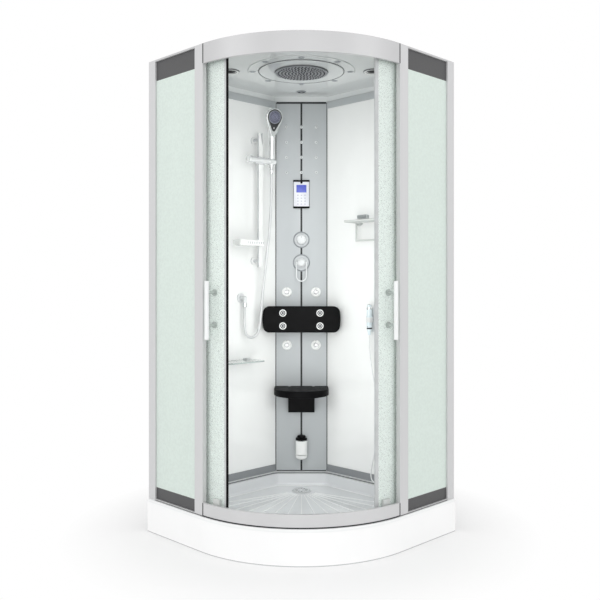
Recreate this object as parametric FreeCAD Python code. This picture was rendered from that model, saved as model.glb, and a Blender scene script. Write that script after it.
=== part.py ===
import FreeCAD, Part
import math
import os

V = FreeCAD.Vector

# A quarter-round steam shower cabin for a room corner, in millimetres. +Z is up, the door faces -Y,
# the room corner is at +Y. The origin is the centre of the floor rectangle that the cabin covers.
# Two more frames are used below. "Corner" frame: u runs along the left wall and v along the right wall,
# both from the room corner. "Wall" frame: s runs along a wall from the room corner, n stands out from it.
# Depth d is the distance from the room corner towards the door, along the cabin's middle plane.

# ---- driving dimensions -------------------------------------------------------------------------
SIDE = 1000.0               # length of the tray along each room wall
HEIGHT = 2150.0             # floor to top of the cabin
CORNER_R = 600.0            # radius of the tray's round front
TRAY_H = 150.0              # floor to top of the tray's rim
FRAME_INSET = 10.0          # glass frame stands back from the tray's edge
CLEAR = 0.3                 # gap between neighbours that do not touch
RUNNING = 0.06              # radial clearance of a pin in its bore

# tray and what carries it
RIM_T = 12.0                # thickness of the tray's rim
TRAY_T = 6.0                # wall of the tray's basin
FLOOR_Z = 86.0              # height of the basin's floor
BASIN_R = 526.0             # radius of the basin's round front
BASIN_WALL = 65.0           # basin edge to room wall
BASIN_BACK = 222.0          # depth d at which the basin starts
BASIN_CORNER = 40.0         # radius of the basin's upright corners
BASIN_FILLET = 14.0         # radius between the basin's floor and its sides
LEDGE_W = 12.0              # width of the shallow step round the basin
LEDGE_H = 5.0               # depth of that step
RIM_FILLET = 4.0
RIB_W, RIB_H = 5.0, 1.6     # raised anti-slip ribs on the floor
RIB_COUNT = 15
RIB_FAN = 120.0             # angle covered by the fan of ribs
RIB_START = 80.0            # where ribs begin, from the drain's centre
RIB_MARGIN = 60.0           # ribs stop this far from the basin's sides
APRON_T = 4.0
APRON_INSET = 3.0
TUBE, TUBE_T = 25.0, 2.0    # square tube of the support frame
FRAME_X = 500.0             # half length of the cross tube
FRAME_D = 640.0             # depth at which the cross tube lies
FRAME_D0, FRAME_D1 = 430.0, 1080.0   # ends of the lengthwise tube
FOOT_END = 30.0             # feet stand this far from the tube ends
FOOT_R, FOOT_H = 25.0, 8.0
LOCKNUT_H = 8.0
STUD_R = 6.0
REAR_FOOT_D = 125.0         # pair of rear feet, one on each side of the waste pipe
REAR_FOOT_X = 66.0
DRAIN_D = 333.0             # depth of the drain's centre
DRAIN_R = 45.0              # hole in the basin's floor
TRAP_R, TRAP_T = 50.0, 4.0
TRAP_BOTTOM = 14.0
WASTE_R, WASTE_T = 20.0, 2.0
WASTE_Z = 40.0
WASTE_END_D = 170.0
SPIGOT_L = 55.0             # length of the spigot that the waste hose goes over
DRAIN_COVER_R, DRAIN_COVER_T = 49.0, 3.0
COVER_SKIRT_R, COVER_SKIRT_H = 36.0, 16.0

# glass frame
RAIL_T = 12.0               # depth of the curved fascia
TOP_RAIL_H = 85.0
BOTTOM_RAIL_H = 57.0
RAIL_WALL = 2.0
TOP_PLATE_T = 8.0
BASE_PLATE_T = 6.0
TRACK_HALF = 81.0           # half angle of the door tracks
FRONT_HALF = 45.0           # half angle of the round front
LEDGE_Z = HEIGHT - 54.0     # underside of the ledge that the door wheels run on
LEDGE_T = 4.0
TRACK_WEB = 4.0
RIB_TRACK_W, RIB_TRACK_H = 4.0, 16.0
PROFILE_W = 51.0            # wall profile, along the side pane
PROFILE_T = 30.0            # wall profile, depth
POST_W = 56.0               # door post, along the side pane
POST_T = 20.0               # door post, depth
WALL_T = 2.0                # wall of the hollow uprights
SIDE_GLASS_T = 6.0
SIDE_GLASS_OUT = 8.0        # pane stands back from the frame's outer face
SLOT_DEPTH = 8.0

# doors
DOOR_GAP = 22.0             # fascia's inner face to the door glass
DOOR_GLASS_T = 5.0
DOOR_SPAN = 45.0            # angle that each door glass covers
DOOR_OPEN = 33.6            # angle from the middle to the open door's edge
SEAL_SPAN = 1.0             # angle of the seal in front of the glass edge
SEAL_GRIP = 0.4             # angle by which the seal holds the glass
SEAL_T = 2.0
MEET = 0.03                 # angle left between a closed seal and the middle
DOOR_BOTTOM, DOOR_TOP = TRAY_H + 18.0, HEIGHT - 22.0
FIT_FRONT, FIT_REAR = 5.4, 40.0      # angles of the fittings behind the door's edge
WHEEL_R, WHEEL_W = 11.0, 8.0
AXLE_R = 4.0
BOLT_HEAD_R, BOLT_HEAD_T = 9.0, 7.0
SHOE_W, SHOE_BOTTOM, SHOE_TOP = 36.0, TRAY_H + 10.0, TRAY_H + 78.0
SHOE_T = 12.6
SHOE_BOLT_Z = TRAY_H + 67.0
HANDLE_R = 9.5
HANDLE_STAND = 45.0         # handle bar's axis in front of the glass
HANDLE_ANGLE = 7.6          # behind the door's edge
HANDLE_Z0, HANDLE_Z1 = 898.0, 1145.0
HANDLE_FIX = (959.0, 1096.0)
HANDLE_STEM_R, HANDLE_DISC_R, HANDLE_DISC_T = 6.0, 14.0, 4.0

# walls, column and roof
WALL_PANEL_N = 23.0         # back of the wall panel to room wall
WALL_PANEL_T = 6.0
PANEL_TOP = HEIGHT - 60.0   # top of wall panels and column
TRIM_H, TRIM_T = 36.0, 4.0
PANEL_START = 205.0
COLUMN_D = 178.0            # depth of the column's front face
COLUMN_T = 3.0
COLUMN_HALF = 132.0
SLIT = 10.0
COLUMN_FLANGE = 10.0
GASKET_H = 4.0              # dark strip above and below the column panels
SPINE_HALF, SPINE_DEPTH, SPINE_T = 22.0, 14.0, 2.0
CEILING_Z = HEIGHT - 40.0   # underside of the ceiling
ROOF_T = 4.0
ROOF_R = 540.0              # radius of the roof's front edge
COVE = 21.0                 # width of the sloping cove round the ceiling
ROOF_STRIP = 60.0           # roof flange behind the doors, from the room wall
UPSTAND_T = 3.0
HEAD_D = 699.0              # depth of the overhead shower's centre
HEAD_R, HEAD_T = 120.0, 12.0
INLET_R = 10.0
RING_R, RING_T = 196.0, 6.0
LIGHT_CIRCLE, LIGHT_R, LIGHT_T = 224.0, 11.0, 4.0
PLATE_R, PLATE_T = 246.0, 3.0    # shallow round plate that the lights are let into
LIGHTS = 8
SPEAKER_X, SPEAKER_D = 328.0, 696.0
SPEAKER_R, SPEAKER_CONE_R, SPEAKER_T = 42.0, 30.0, 4.0
SPEAKER_BODY_R, SPEAKER_BODY_H = 33.0, 26.0
VENT_D = 316.0
VENT_R, VENT_DUCT_R, VENT_T = 24.0, 20.0, 4.0
VENT_TOP = HEIGHT - 8.0
FAN_R, FAN_H, FAN_BLADES, FAN_PIN_R = 17.5, 12.0, 7, 1.5

# fittings on the column
PANEL_Z, CONTROL_W, CONTROL_H, CONTROL_T = 1604.0, 84.0, 147.0, 12.0
CONTROL_EDGE = 3.0
WINDOW_SIDE, WINDOW_LOW, WINDOW_HIGH = 12.0, 12.0, 16.0      # frame round the display's window
MICRO_DROPS = (132.0, 212.0, 291.0, 371.0)   # rows of small jets below the column's top
MICRO_X = 78.0
MICRO_R, MICRO_STEM_R, MICRO_T = 7.0, 4.0, 3.0
JET_X = 76.5
JET_Z = (1090.0, 812.0)
JET_R, JET_T = 25.0, 6.0
JET_BALL_R, JET_SPOUT_R, JET_SPOUT = 12.0, 6.0, 14.0
DIVERTER_Z, DIVERTER_ROSE_R, DIVERTER_R, DIVERTER_T = 1365.0, 42.0, 26.0, 30.0
MIXER_Z, MIXER_ROSE_R, MIXER_R, MIXER_T = 1244.0, 44.0, 22.0, 34.0
ROSE_T = 6.0
SPINDLE_R, SPINDLE_L = 6.0, 16.0
KNOB_GRIPS, KNOB_GRIP_R = 12, 3.0    # hollows round the diverter knob
LEVER_W, LEVER_DROP, LEVER_BAR = 57.0, 99.0, 9.0
LEVER_D = 205.0
LEVER_PIN_R = 3.5
PAD_Z, PAD_W, PAD_H, PAD_T = 951.0, 400.0, 135.0, 38.0
PAD_D = 252.0               # depth of the pad's back
PAD_CORNER, PAD_CROWN = 34.0, 8.0
PAD_BOW = 8.0               # the ends stand out by this much at mid height
PAD_JET_X, PAD_JET_Z, PAD_JET_R = 95.0, 33.0, 18.0
STANDOFF_R = 16.0
SEAT_TOP, SEAT_T, SEAT_W = 600.0, 35.0, 280.0
SEAT_REACH = 430.0          # depth of the seat's front edge
SEAT_BACK_GAP = 8.5         # column to the seat's rear edge
SEAT_EDGE = 6.0
BRACKET_W, BRACKET_BOTTOM, BRACKET_REACH = 137.0, 466.0, 60.0
BRACKET_EDGE = 8.0
EAR_T, EAR_R, HINGE_PIN_R = 12.0, 15.0, 5.0
STEAM_Z0, STEAM_Z1, STEAM_R = 217.0, 320.0, 31.0
STEAM_GAP = 5.0
STEAM_DOME = 18.0           # height of the outlet's round bottom
CAP_R, CAP_H, CAP_PLUG_R, CAP_PLUG = 27.0, 24.0, 18.0, 16.0
STEAM_NECK_R = 10.0
STEAM_NECK_RISE = 40.0      # neck's axis above the outlet's bottom

# left wall fittings
RAIL_S, RAIL_N = 375.0, 79.5
RAIL_W, RAIL_D = 30.0, 15.0
RAIL_CORNER = 5.0
RAIL_Z0, RAIL_Z1 = 1219.0, 1897.0
RAIL_FIX = (1250.0, 1864.0)
RAIL_NOTCH, RAIL_PRONG_IN, RAIL_PRONG_OUT = 62.0, 6.0, 10.0    # notch in the rail's top end
ROSE_R, STEM_R, RAIL_ROSE_T = 20.0, 9.0, 6.0
SLIDER_Z, SLIDER_H = 1756.0, 40.0
SLEEVE_WALL, SLEEVE_CORNER = 6.0, 6.0
BAR_N, BAR_R = 101.0, 15.5
BAR_S0, BAR_S1 = 338.0, 456.0
KNOB_R, KNOB_W, KNOB_EDGE = 18.0, 18.0, 3.0
HOLDER_S, HOLDER_S0 = 318.0, 297.0
HOLDER_R = 17.0
TILT_PIN_R, TILT_PIN = 8.0, 18.0
HANDLE_BOTTOM = 1722.0
GRIP_R0, GRIP_R1 = 11.0, 13.5
CONE_GAP = 0.25
HEAD_Z, HEAD_N = 1981.0, 124.0
SPRAY_R, SPRAY_T, SPRAY_TILT = 44.0, 20.0, 12.0
SPRAY_FACE_EDGE, SPRAY_BACK_EDGE = 6.0, 3.0
SPRAY_YAW = 18.0            # the head is turned from the wall's normal towards the door
NECK_Z = 1893.0
SOAP_Z, SOAP_H = 1337.0, 26.0
SOAP_S1, SOAP_N0, SOAP_N1 = 545.0, 60.0, 130.0
SOAP_WALL, SOAP_CORNER = 3.0, 16.0
SOAP_RIBS, SOAP_RIB_START, SOAP_RIB_PITCH, SOAP_RIB_W = 10, 20.0, 12.0, 2.0
SHELF_Z, SHELF_T = 745.0, 6.0
SHELF_S0, SHELF_S1, SHELF_REACH = 395.0, 645.0, 120.0
SHELF_CORNER = 25.0
SHELF_CLAMPS = (435.0, 605.0)
CLAMP_W, CLAMP_H, CLAMP_REACH, CLAMP_EDGE = 24.0, 22.0, 30.0, 4.0
OUTLET_S, OUTLET_N, OUTLET_Z = 463.0, 60.0, 1062.0
OUTLET_R, OUTLET_DROP = 10.0, 24.0
OUTLET_ROSE_R, OUTLET_ROSE_T = 24.0, 5.0
HOSE_R = 7.0
HOSE_ROUTE = [  # wall frame s, n, z: from the wall outlet down, round and up to the hand shower
    (463, 60, 1038), (463, 60, 1000), (464.5, 61.5, 950), (466, 65, 888), (442, 69, 864),
    (408, 73, 864), (384, 78, 888), (377, 84, 952), (371, 90, 1060), (360, 95, 1180), (343, 98, 1300),
    (328, 100, 1420), (320.5, 101.5, 1540), (318, 101, 1650), (318, 101, 1722),
]

# right wall fittings
RACK_Z, RACK_S0, RACK_S1, RACK_REACH = 1442.0, 452.0, 700.0, 118.0
RACK_ROD_R, RACK_RODS, RACK_DROP = 5.0, 4, 92.0
RACK_MOUNT_R, RACK_MOUNT_T = 16.0, 22.0
SPRAYER_S, SPRAYER_Z = 534.0, 955.0
SPRAYER_R, SPRAYER_L = 13.0, 150.0
HOLDER_RING_H, HOLDER_RING_T = 24.0, 3.0
HOLDER_PLATE_W, HOLDER_PLATE_H, HOLDER_PLATE_T = 32.0, 120.0, 5.0
HOLDER_ARM_W = 16.0
THIN_R = 3.0
THIN_OUT_Z, THIN_OUT_S = 300.0, 640.0
THIN_ROSE_R, THIN_ROSE_T, THIN_NECK_R, THIN_SPOUT_R = 14.0, 4.0, 6.0, 5.0
THIN_ROUTE = [  # wall frame s, n, z: from the sprayer's foot to its outlet near the tray
    (534, 58, 880), (534, 58, 850), (537, 61, 815), (546, 66, 775), (560, 72, 725), (577, 77, 665),
    (592, 80, 600), (602, 81, 530), (603, 81, 460), (598, 80.5, 390), (588, 80, 325), (573, 79, 262),
    (560, 78, 208), (562, 78, 176), (578, 77, 161), (600, 74, 163), (620, 69, 182),
    (634, 63, 215), (640, 57, 250), (640, 57, 284),
]

# parts behind the column
GENERATOR_W, GENERATOR_D0, GENERATOR_Z0, GENERATOR_Z1 = 150.0, 84.0, 190.0, 540.0
STEAM_PIPE_R = 7.0
INLET_THREAD_R = 10.48      # outside of a half-inch pipe thread
GENERATOR_INLET_Z, GENERATOR_INLET_L = 300.0, 16.0
VALVE_W, VALVE_D0 = 56.0, 128.0
VALVE_MARGIN = 22.0
SUPPLY_R, SUPPLY_X, SUPPLY_Z = 7.0, 18.0, 640.0
NUT_R, NUT_H, NUT_BORE = 13.0, 18.0, 9.32    # bore of a half-inch pipe thread
NUT_D, NUT_THREAD = 104.0, 14.0              # depth of the nut's open end, length of its thread
RISER_X = 40.0

# ---- derived places -----------------------------------------------------------------------------
ROOT2 = math.sqrt(2)
CENTRE = SIDE - CORNER_R                     # corner frame: centre of every arc of the front
ARC_D = CENTRE * ROOT2
BACK_Y = (ARC_D + CORNER_R) / 2
ARC_Y = BACK_Y - ARC_D
FAR = SIDE - FRAME_INSET                     # corner frame: outer face of the glass frame
RAIL_R1 = CORNER_R - FRAME_INSET
RAIL_R0 = RAIL_R1 - RAIL_T
GLASS_R1 = RAIL_R0 - DOOR_GAP
GLASS_R0 = GLASS_R1 - DOOR_GLASS_T
WHEEL_R0 = GLASS_R1 + 3.0                    # wheel's inner face
WHEEL_Z = LEDGE_Z + LEDGE_T + WHEEL_R + CLEAR
WHEEL_MID_R = WHEEL_R0 + WHEEL_W / 2
SHOE_R1 = GLASS_R1 + CLEAR + SHOE_T
TRACK_RIB_R = (GLASS_R1 + SHOE_R1) / 2
TRAY_DECK = TRAY_H
FLOOR_UNDER = FLOOR_Z - TRAY_T
WALL_FACE = WALL_PANEL_N + WALL_PANEL_T      # wall frame: inner face of the wall panels
POST_V1 = CENTRE
POST_V0 = CENTRE - POST_W
SIDE_GLASS_U1 = FAR - SIDE_GLASS_OUT
SIDE_GLASS_U0 = SIDE_GLASS_U1 - SIDE_GLASS_T
TRIM_START = (COLUMN_D + CLEAR) * ROOT2 - WALL_FACE
RAIL_END = FRONT_HALF - 0.03                 # half angle of the fascia, a hair short of the posts
MICRO_Z = [PANEL_TOP - drop for drop in MICRO_DROPS]
STEAM_D = COLUMN_D + STEAM_GAP + STEAM_R     # depth of the steam head's axis
STEAM_NECK_Z = STEAM_Z0 + STEAM_NECK_RISE
CLEAR_ANGLE = 0.04


# ---- helpers ------------------------------------------------------------------------------------
def box(x0, x1, y0, y1, z0, z1):
    return Part.makeBox(x1 - x0, y1 - y0, z1 - z0, V(x0, y0, z0))


def rod(r, p0, p1):
    """A cylinder from point p0 to point p1."""
    p0, p1 = V(*p0), V(*p1)
    return Part.makeCylinder(r, (p1 - p0).Length, p0, p1 - p0)


def cone(r0, r1, p0, p1):
    p0, p1 = V(*p0), V(*p1)
    return Part.makeCone(r0, r1, (p1 - p0).Length, p0, p1 - p0)


def prism(points, z0, z1):
    """A straight-sided solid over a polygon in the XY plane."""
    corners = [V(x, y, z0) for x, y in points]
    return Part.Face(Part.makePolygon(corners + corners[:1])).extrude(V(0, 0, z1 - z0))


def turned(profile, centre=(0, 0, 0), axis=(0, 0, 1)):
    """A solid of revolution from (radius, height) points, its axis through centre."""
    corners = [V(r, 0, h) for r, h in profile]
    solid = Part.Face(Part.makePolygon(corners + corners[:1])).revolve(V(0, 0, 0), V(0, 0, 1), 360)
    solid.Placement = FreeCAD.Placement(V(*centre), FreeCAD.Rotation(V(0, 0, 1), V(*axis)))
    return solid


def join(*shapes):
    joined = shapes[0].multiFuse(list(shapes[1:])) if len(shapes) > 1 else shapes[0]
    return joined.removeSplitter()


def group(*shapes):
    """Separate solids in one node."""
    return Part.makeCompound([solid for shape in shapes for solid in shape.Solids])


def rounded(shape, radius, chosen):
    """Fillets the edges that chosen(edge) picks."""
    edges = [e for e in shape.Edges if chosen(e)]
    return shape.makeFillet(radius, edges) if edges else shape


def upright(edge):
    return len(edge.Vertexes) == 2 and abs(edge.tangentAt(edge.FirstParameter).z) > 0.999


def level_at(z):
    return lambda edge: abs(edge.BoundBox.ZMin - z) < 0.01 and abs(edge.BoundBox.ZMax - z) < 0.01


def from_corner(shape):
    """Corner frame (u, v, z), which is also the left wall's frame (s, n, z), to the cabin's frame."""
    turn = FreeCAD.Rotation(V(0, 0, 1), 225)
    return shape.transformed(FreeCAD.Placement(V(0, BACK_Y, 0), turn).toMatrix())


def mirrored(shape):
    return shape.mirror(V(0, 0, 0), V(1, 0, 0))


def both(shape):
    return group(shape, mirrored(shape))


def at_depth(x, d, z):
    return (x, BACK_Y - d, z)


def front_box(x0, x1, d0, d1, z0, z1):
    return box(x0, x1, BACK_Y - d1, BACK_Y - d0, z0, z1)


def front_rod(r, x, z, d0, d1):
    return rod(r, at_depth(x, d0, z), at_depth(x, d1, z))


def on_arc(r, angle, z):
    """A point at an angle from the middle of the door front, positive to the right."""
    a = math.radians(angle)
    return (r * math.sin(a), ARC_Y - r * math.cos(a), z)


def arc_rod(r, angle, z, r0, r1):
    return rod(r, on_arc(r0, angle, z), on_arc(r1, angle, z))


def sector(profile, a0, a1):
    """A profile of (radius, z) points swept round the door arc's centre from angle a0 to a1."""
    corners = [V(r, 0, z) for r, z in profile]
    face = Part.Face(Part.makePolygon(corners + corners[:1]))
    face.rotate(V(0, 0, 0), V(0, 0, 1), a0 - 90)
    swept = face.revolve(V(0, 0, 0), V(0, 0, 1), a1 - a0)
    swept.translate(V(0, ARC_Y, 0))
    return swept


def ring_sector(r0, r1, z0, z1, a0, a1):
    return sector([(r0, z0), (r1, z0), (r1, z1), (r0, z1)], a0, a1)


def outline(front, wall, z0, z1):
    """The cabin's plan, set back from its front by one distance and from the walls by another."""
    far, r = SIDE - front, CORNER_R - front
    mid = CENTRE + r / ROOT2
    edges = [
        Part.LineSegment(V(wall, wall, z0), V(far, wall, z0)).toShape(),
        Part.LineSegment(V(far, wall, z0), V(far, CENTRE, z0)).toShape(),
        Part.Arc(V(far, CENTRE, z0), V(mid, mid, z0), V(CENTRE, far, z0)).toShape(),
        Part.LineSegment(V(CENTRE, far, z0), V(wall, far, z0)).toShape(),
        Part.LineSegment(V(wall, far, z0), V(wall, wall, z0)).toShape(),
    ]
    return from_corner(Part.Face(Part.Wire(edges)).extrude(V(0, 0, z1 - z0)))


def bowl(r, wall, back, corner, z0, z1):
    """The plan of the basin: round in front, straight along the walls, cut across at the back."""
    foot = back * ROOT2 - wall
    plan = prism([(foot, wall), (SIDE, wall), (SIDE, SIDE), (wall, SIDE), (wall, foot)], z0, z1)
    round_front = Part.makeCylinder(r, z1 - z0, V(CENTRE, CENTRE, z0))
    return from_corner(rounded(plan.common(round_front), corner, upright))


def tube_path(points):
    """Straight runs joined by tangent arcs, each arc as large as its two runs allow."""
    pts = [V(*p) for p in points]
    edges, radii, last = [], [], pts[0]
    for before, here, after in zip(pts, pts[1:], pts[2:]):
        back, ahead = before - here, after - here
        cut = 0.45 * min(back.Length, ahead.Length)
        turn = math.pi - back.getAngle(ahead)
        radii.append(cut / math.tan(turn / 2))
        back.normalize()
        ahead.normalize()
        start, end = here + back * cut, here + ahead * cut
        inward = (back + ahead).normalize()
        middle = here + inward * (radii[-1] / math.cos(turn / 2) - radii[-1])
        edges.append(Part.LineSegment(last, start).toShape())
        edges.append(Part.Arc(start, middle, end).toShape())
        last = end
    edges.append(Part.LineSegment(last, pts[-1]).toShape())
    return Part.Wire(edges), radii


def hose(name, points, r):
    path, radii = tube_path(points)
    start = path.Edges[0]
    ring = Part.Wire(Part.makeCircle(r, start.valueAt(start.FirstParameter),
                                     start.tangentAt(start.FirstParameter)))
    tube = path.makePipeShell([ring], True, False)
    share = tube.Volume / (math.pi * r * r * path.Length)
    print(name, "length", round(path.Length), "volume share", round(share, 4),
          "least radius", round(min(radii)))
    return tube


def drilled(shape, *holes):
    return shape.cut(group(*holes)) if holes else shape


# ---- tray ---------------------------------------------------------------------------------------
def shower_tray():
    rim = outline(0, 0, TRAY_DECK - RIM_T, TRAY_DECK)
    rim = rounded(rim, RIM_FILLET, lambda e: level_at(TRAY_DECK)(e) and e.BoundBox.YMin < ARC_Y)
    outer = bowl(BASIN_R + TRAY_T, BASIN_WALL - TRAY_T, BASIN_BACK - TRAY_T, BASIN_CORNER + TRAY_T,
                 FLOOR_UNDER, TRAY_DECK - RIM_T)
    outer = rounded(outer, BASIN_FILLET + TRAY_T, level_at(FLOOR_UNDER))
    inner = bowl(BASIN_R, BASIN_WALL, BASIN_BACK, BASIN_CORNER, FLOOR_Z, TRAY_DECK + 1)
    inner = rounded(inner, BASIN_FILLET, level_at(FLOOR_Z))
    step = bowl(BASIN_R + LEDGE_W, BASIN_WALL - LEDGE_W, BASIN_BACK - LEDGE_W, BASIN_CORNER + LEDGE_W,
                TRAY_DECK - LEDGE_H, TRAY_DECK + 1)
    hole = front_hole(DRAIN_R, DRAIN_D, FLOOR_UNDER - 1, FLOOR_Z + 1)
    tray = join(rim, outer).cut(join(inner, step)).cut(hole)
    return join(tray, *floor_ribs())


def front_hole(r, d, z0, z1, x=0):
    return rod(r, at_depth(x, d, z0), at_depth(x, d, z1))


def floor_ribs():
    """Ribs that fan out from the drain towards the door."""
    inside = bowl(BASIN_R - RIB_MARGIN, BASIN_WALL + RIB_MARGIN, BASIN_BACK, BASIN_CORNER,
                  FLOOR_Z - 1, FLOOR_Z + RIB_H)
    ribs = []
    for i in range(RIB_COUNT):
        angle = RIB_FAN * (i / (RIB_COUNT - 1) - 0.5)
        rib = box(-RIB_W / 2, RIB_W / 2, -SIDE, -RIB_START, FLOOR_Z - 1, FLOOR_Z + RIB_H)
        rib.rotate(V(0, 0, 0), V(0, 0, 1), angle)
        rib.translate(V(*at_depth(0, DRAIN_D, 0)))
        ribs.append(rib.common(inside))
    return ribs


def tray_apron():
    z1 = TRAY_DECK - RIM_T
    return outline(APRON_INSET, 0, 0, z1).cut(outline(APRON_INSET + APRON_T, -1, -1, z1 + 1))


def tray_frame():
    z0, z1 = FLOOR_UNDER - TUBE, FLOOR_UNDER
    half, t = TUBE / 2, TUBE_T
    outer = join(front_box(-FRAME_X, FRAME_X, FRAME_D - half, FRAME_D + half, z0, z1),
                 front_box(-half, half, FRAME_D0, FRAME_D1, z0, z1))
    z0, z1 = z0 + t, z1 - t
    across = front_box(-FRAME_X - 1, FRAME_X + 1, FRAME_D - half + t, FRAME_D + half - t, z0, z1)
    along = front_box(-half + t, half - t, FRAME_D0 - 1, FRAME_D1 + 1, z0, z1)
    return outer.cut(join(across, along))


def levelling_feet():
    under, rim = FLOOR_UNDER - TUBE, TRAY_DECK - RIM_T
    places = [(-FRAME_X + FOOT_END, FRAME_D, under), (FRAME_X - FOOT_END, FRAME_D, under),
              (0, FRAME_D0 + FOOT_END, under), (0, FRAME_D1 - FOOT_END, under),
              (-REAR_FOOT_X, REAR_FOOT_D, rim), (REAR_FOOT_X, REAR_FOOT_D, rim)]
    feet = []
    for x, d, top in places:
        profile = [(0, 0), (FOOT_R, 0), (FOOT_R, FOOT_H * 0.5), (STUD_R * 1.8, FOOT_H), (STUD_R, FOOT_H),
                   (STUD_R, top - LOCKNUT_H), (STUD_R * 1.7, top - LOCKNUT_H), (STUD_R * 1.7, top),
                   (0, top)]
        feet.append(turned(profile, at_depth(x, d, 0)))
    return group(*feet)


def drain_trap():
    """Cup trap under the floor, with its waste pipe towards the room corner."""
    top = FLOOR_Z + 1
    collar = DRAIN_R - CLEAR
    outer = turned([(0, TRAP_BOTTOM), (TRAP_R, TRAP_BOTTOM), (TRAP_R, FLOOR_UNDER - 4),
                    (TRAP_R + 6, FLOOR_UNDER - 4), (TRAP_R + 6, FLOOR_UNDER), (collar, FLOOR_UNDER),
                    (collar, top), (0, top)], at_depth(0, DRAIN_D, 0))
    spigot = rod(WASTE_R, at_depth(0, DRAIN_D, WASTE_Z), at_depth(0, WASTE_END_D, WASTE_Z))
    shoulder_d = WASTE_END_D + SPIGOT_L
    shoulder = rod(WASTE_R + WASTE_T, at_depth(0, DRAIN_D, WASTE_Z), at_depth(0, shoulder_d, WASTE_Z))
    inner = turned([(0, TRAP_BOTTOM + TRAP_T), (TRAP_R - TRAP_T, TRAP_BOTTOM + TRAP_T),
                    (TRAP_R - TRAP_T, FLOOR_UNDER - 6), (collar - TRAP_T, FLOOR_UNDER - 6),
                    (collar - TRAP_T, top + 1), (0, top + 1)], at_depth(0, DRAIN_D, 0))
    bore = rod(WASTE_R - WASTE_T, at_depth(0, DRAIN_D, WASTE_Z), at_depth(0, WASTE_END_D - 1, WASTE_Z))
    return join(outer, spigot, shoulder).cut(join(inner, bore))


def drain_cover():
    z = FLOOR_Z + 1 + CLEAR
    r, t, s = DRAIN_COVER_R, DRAIN_COVER_T, COVER_SKIRT_R
    plate = turned([(0, z), (s - 2, z), (s - 2, z - COVER_SKIRT_H), (s, z - COVER_SKIRT_H), (s, z),
                    (r, z), (r, z + 1), (r - 4, z + t), (0, z + t)], at_depth(0, DRAIN_D, 0))
    slots = []
    for angle in range(0, 360, 45):
        slot = box(-3, 3, s - 8, s + 8, z - COVER_SKIRT_H - 1, z - 4)
        slot.rotate(V(0, 0, 0), V(0, 0, 1), angle)
        slot.translate(V(*at_depth(0, DRAIN_D, 0)))
        slots.append(slot)
    return drilled(plate, *slots)


# ---- glass frame --------------------------------------------------------------------------------
def rail_plate(r0, z0, z1):
    """The flat plate of a rail: from radius r0 out to the frame's face, between the wall profiles."""
    wedge = ring_sector(r0, SIDE, z0 - 1, z1 + 1, -TRACK_HALF, TRACK_HALF)
    plate = outline(FRAME_INSET, PROFILE_W + CLEAR, z0, z1).common(wedge)
    post = box(FAR - POST_T - CLEAR, FAR + 1, POST_V0 - CLEAR, POST_V1, z0 - 1, z1 + 1)
    return plate.cut(both(from_corner(post)))


def fascia(z0, z1):
    wall = RAIL_WALL
    outer = ring_sector(RAIL_R0, RAIL_R1, z0, z1, -RAIL_END, RAIL_END)
    end = RAIL_END + 1
    chamber = ring_sector(RAIL_R0 + wall, RAIL_R1 - wall, z0 + wall, z1 - wall, -end, end)
    return outer, chamber


def bottom_rail():
    z0 = TRAY_DECK
    plate = rail_plate(GLASS_R0 - 2, z0, z0 + BASE_PLATE_T)
    front, chamber = fascia(z0, z0 + BOTTOM_RAIL_H)
    r = TRACK_RIB_R
    track = ring_sector(r - RIB_TRACK_W / 2, r + RIB_TRACK_W / 2, z0, z0 + BASE_PLATE_T + RIB_TRACK_H,
                        -TRACK_HALF, TRACK_HALF)
    return join(plate, front, track).cut(chamber)


def track_profile(grow=0.0):
    """The door track under the top plate: a web and the ledge that the wheels run on."""
    low, high = LEDGE_Z - grow, HEIGHT - TOP_PLATE_T
    inner = WHEEL_R0 - 1.5 - grow
    web = RAIL_R0 - TRACK_WEB
    ledge = LEDGE_Z + LEDGE_T
    if grow:
        return [(inner, low), (RAIL_R0 + grow, low), (RAIL_R0 + grow, HEIGHT + 1), (inner, HEIGHT + 1)]
    return [(inner, low), (RAIL_R0, low), (RAIL_R0, high), (web, high), (web, ledge), (inner, ledge)]


def top_rail():
    z1 = HEIGHT
    plate = rail_plate(ROOF_R - UPSTAND_T, z1 - TOP_PLATE_T, z1)
    front, chamber = fascia(z1 - TOP_RAIL_H, z1)
    track = sector(track_profile(), -TRACK_HALF, TRACK_HALF)
    chamber = chamber.cut(ring_sector(RAIL_R0, SIDE, z1 - TOP_PLATE_T, z1, -TRACK_HALF, TRACK_HALF))
    return join(plate, front, track).cut(chamber)


def hollow(u0, u1, v0, v1):
    t = WALL_T
    z0, z1 = TRAY_DECK, HEIGHT
    return box(u0, u1, v0, v1, z0, z1).cut(box(u0 + t, u1 - t, v0 + t, v1 - t, z0 - 1, z1 - t))


def wall_profiles():
    """Uprights against the room walls, and the trim strips along the wall panels."""
    u0 = FAR - PROFILE_T
    bar = hollow(u0, FAR, 0, PROFILE_W)
    glass_slot = box(SIDE_GLASS_U0 - CLEAR, SIDE_GLASS_U1 + CLEAR, PROFILE_W - SLOT_DEPTH, PROFILE_W + 1,
                     TRAY_DECK - 1, HEIGHT - TOP_PLATE_T + CLEAR)
    panel_slot = box(u0 - 1, u0 + SLOT_DEPTH, WALL_PANEL_N - CLEAR, WALL_FACE + CLEAR,
                     TRAY_DECK - 1, PANEL_TOP + CLEAR)
    bar = bar.cut(glass_slot).cut(panel_slot)
    low = box(TRIM_START, u0 - CLEAR, WALL_FACE, WALL_FACE + TRIM_T, TRAY_DECK, TRAY_DECK + TRIM_H)
    high = box(TRIM_START, u0 - CLEAR, WALL_FACE, WALL_FACE + TRIM_T, PANEL_TOP - TRIM_H, PANEL_TOP)
    return both(from_corner(group(bar, low, high)))


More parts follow.
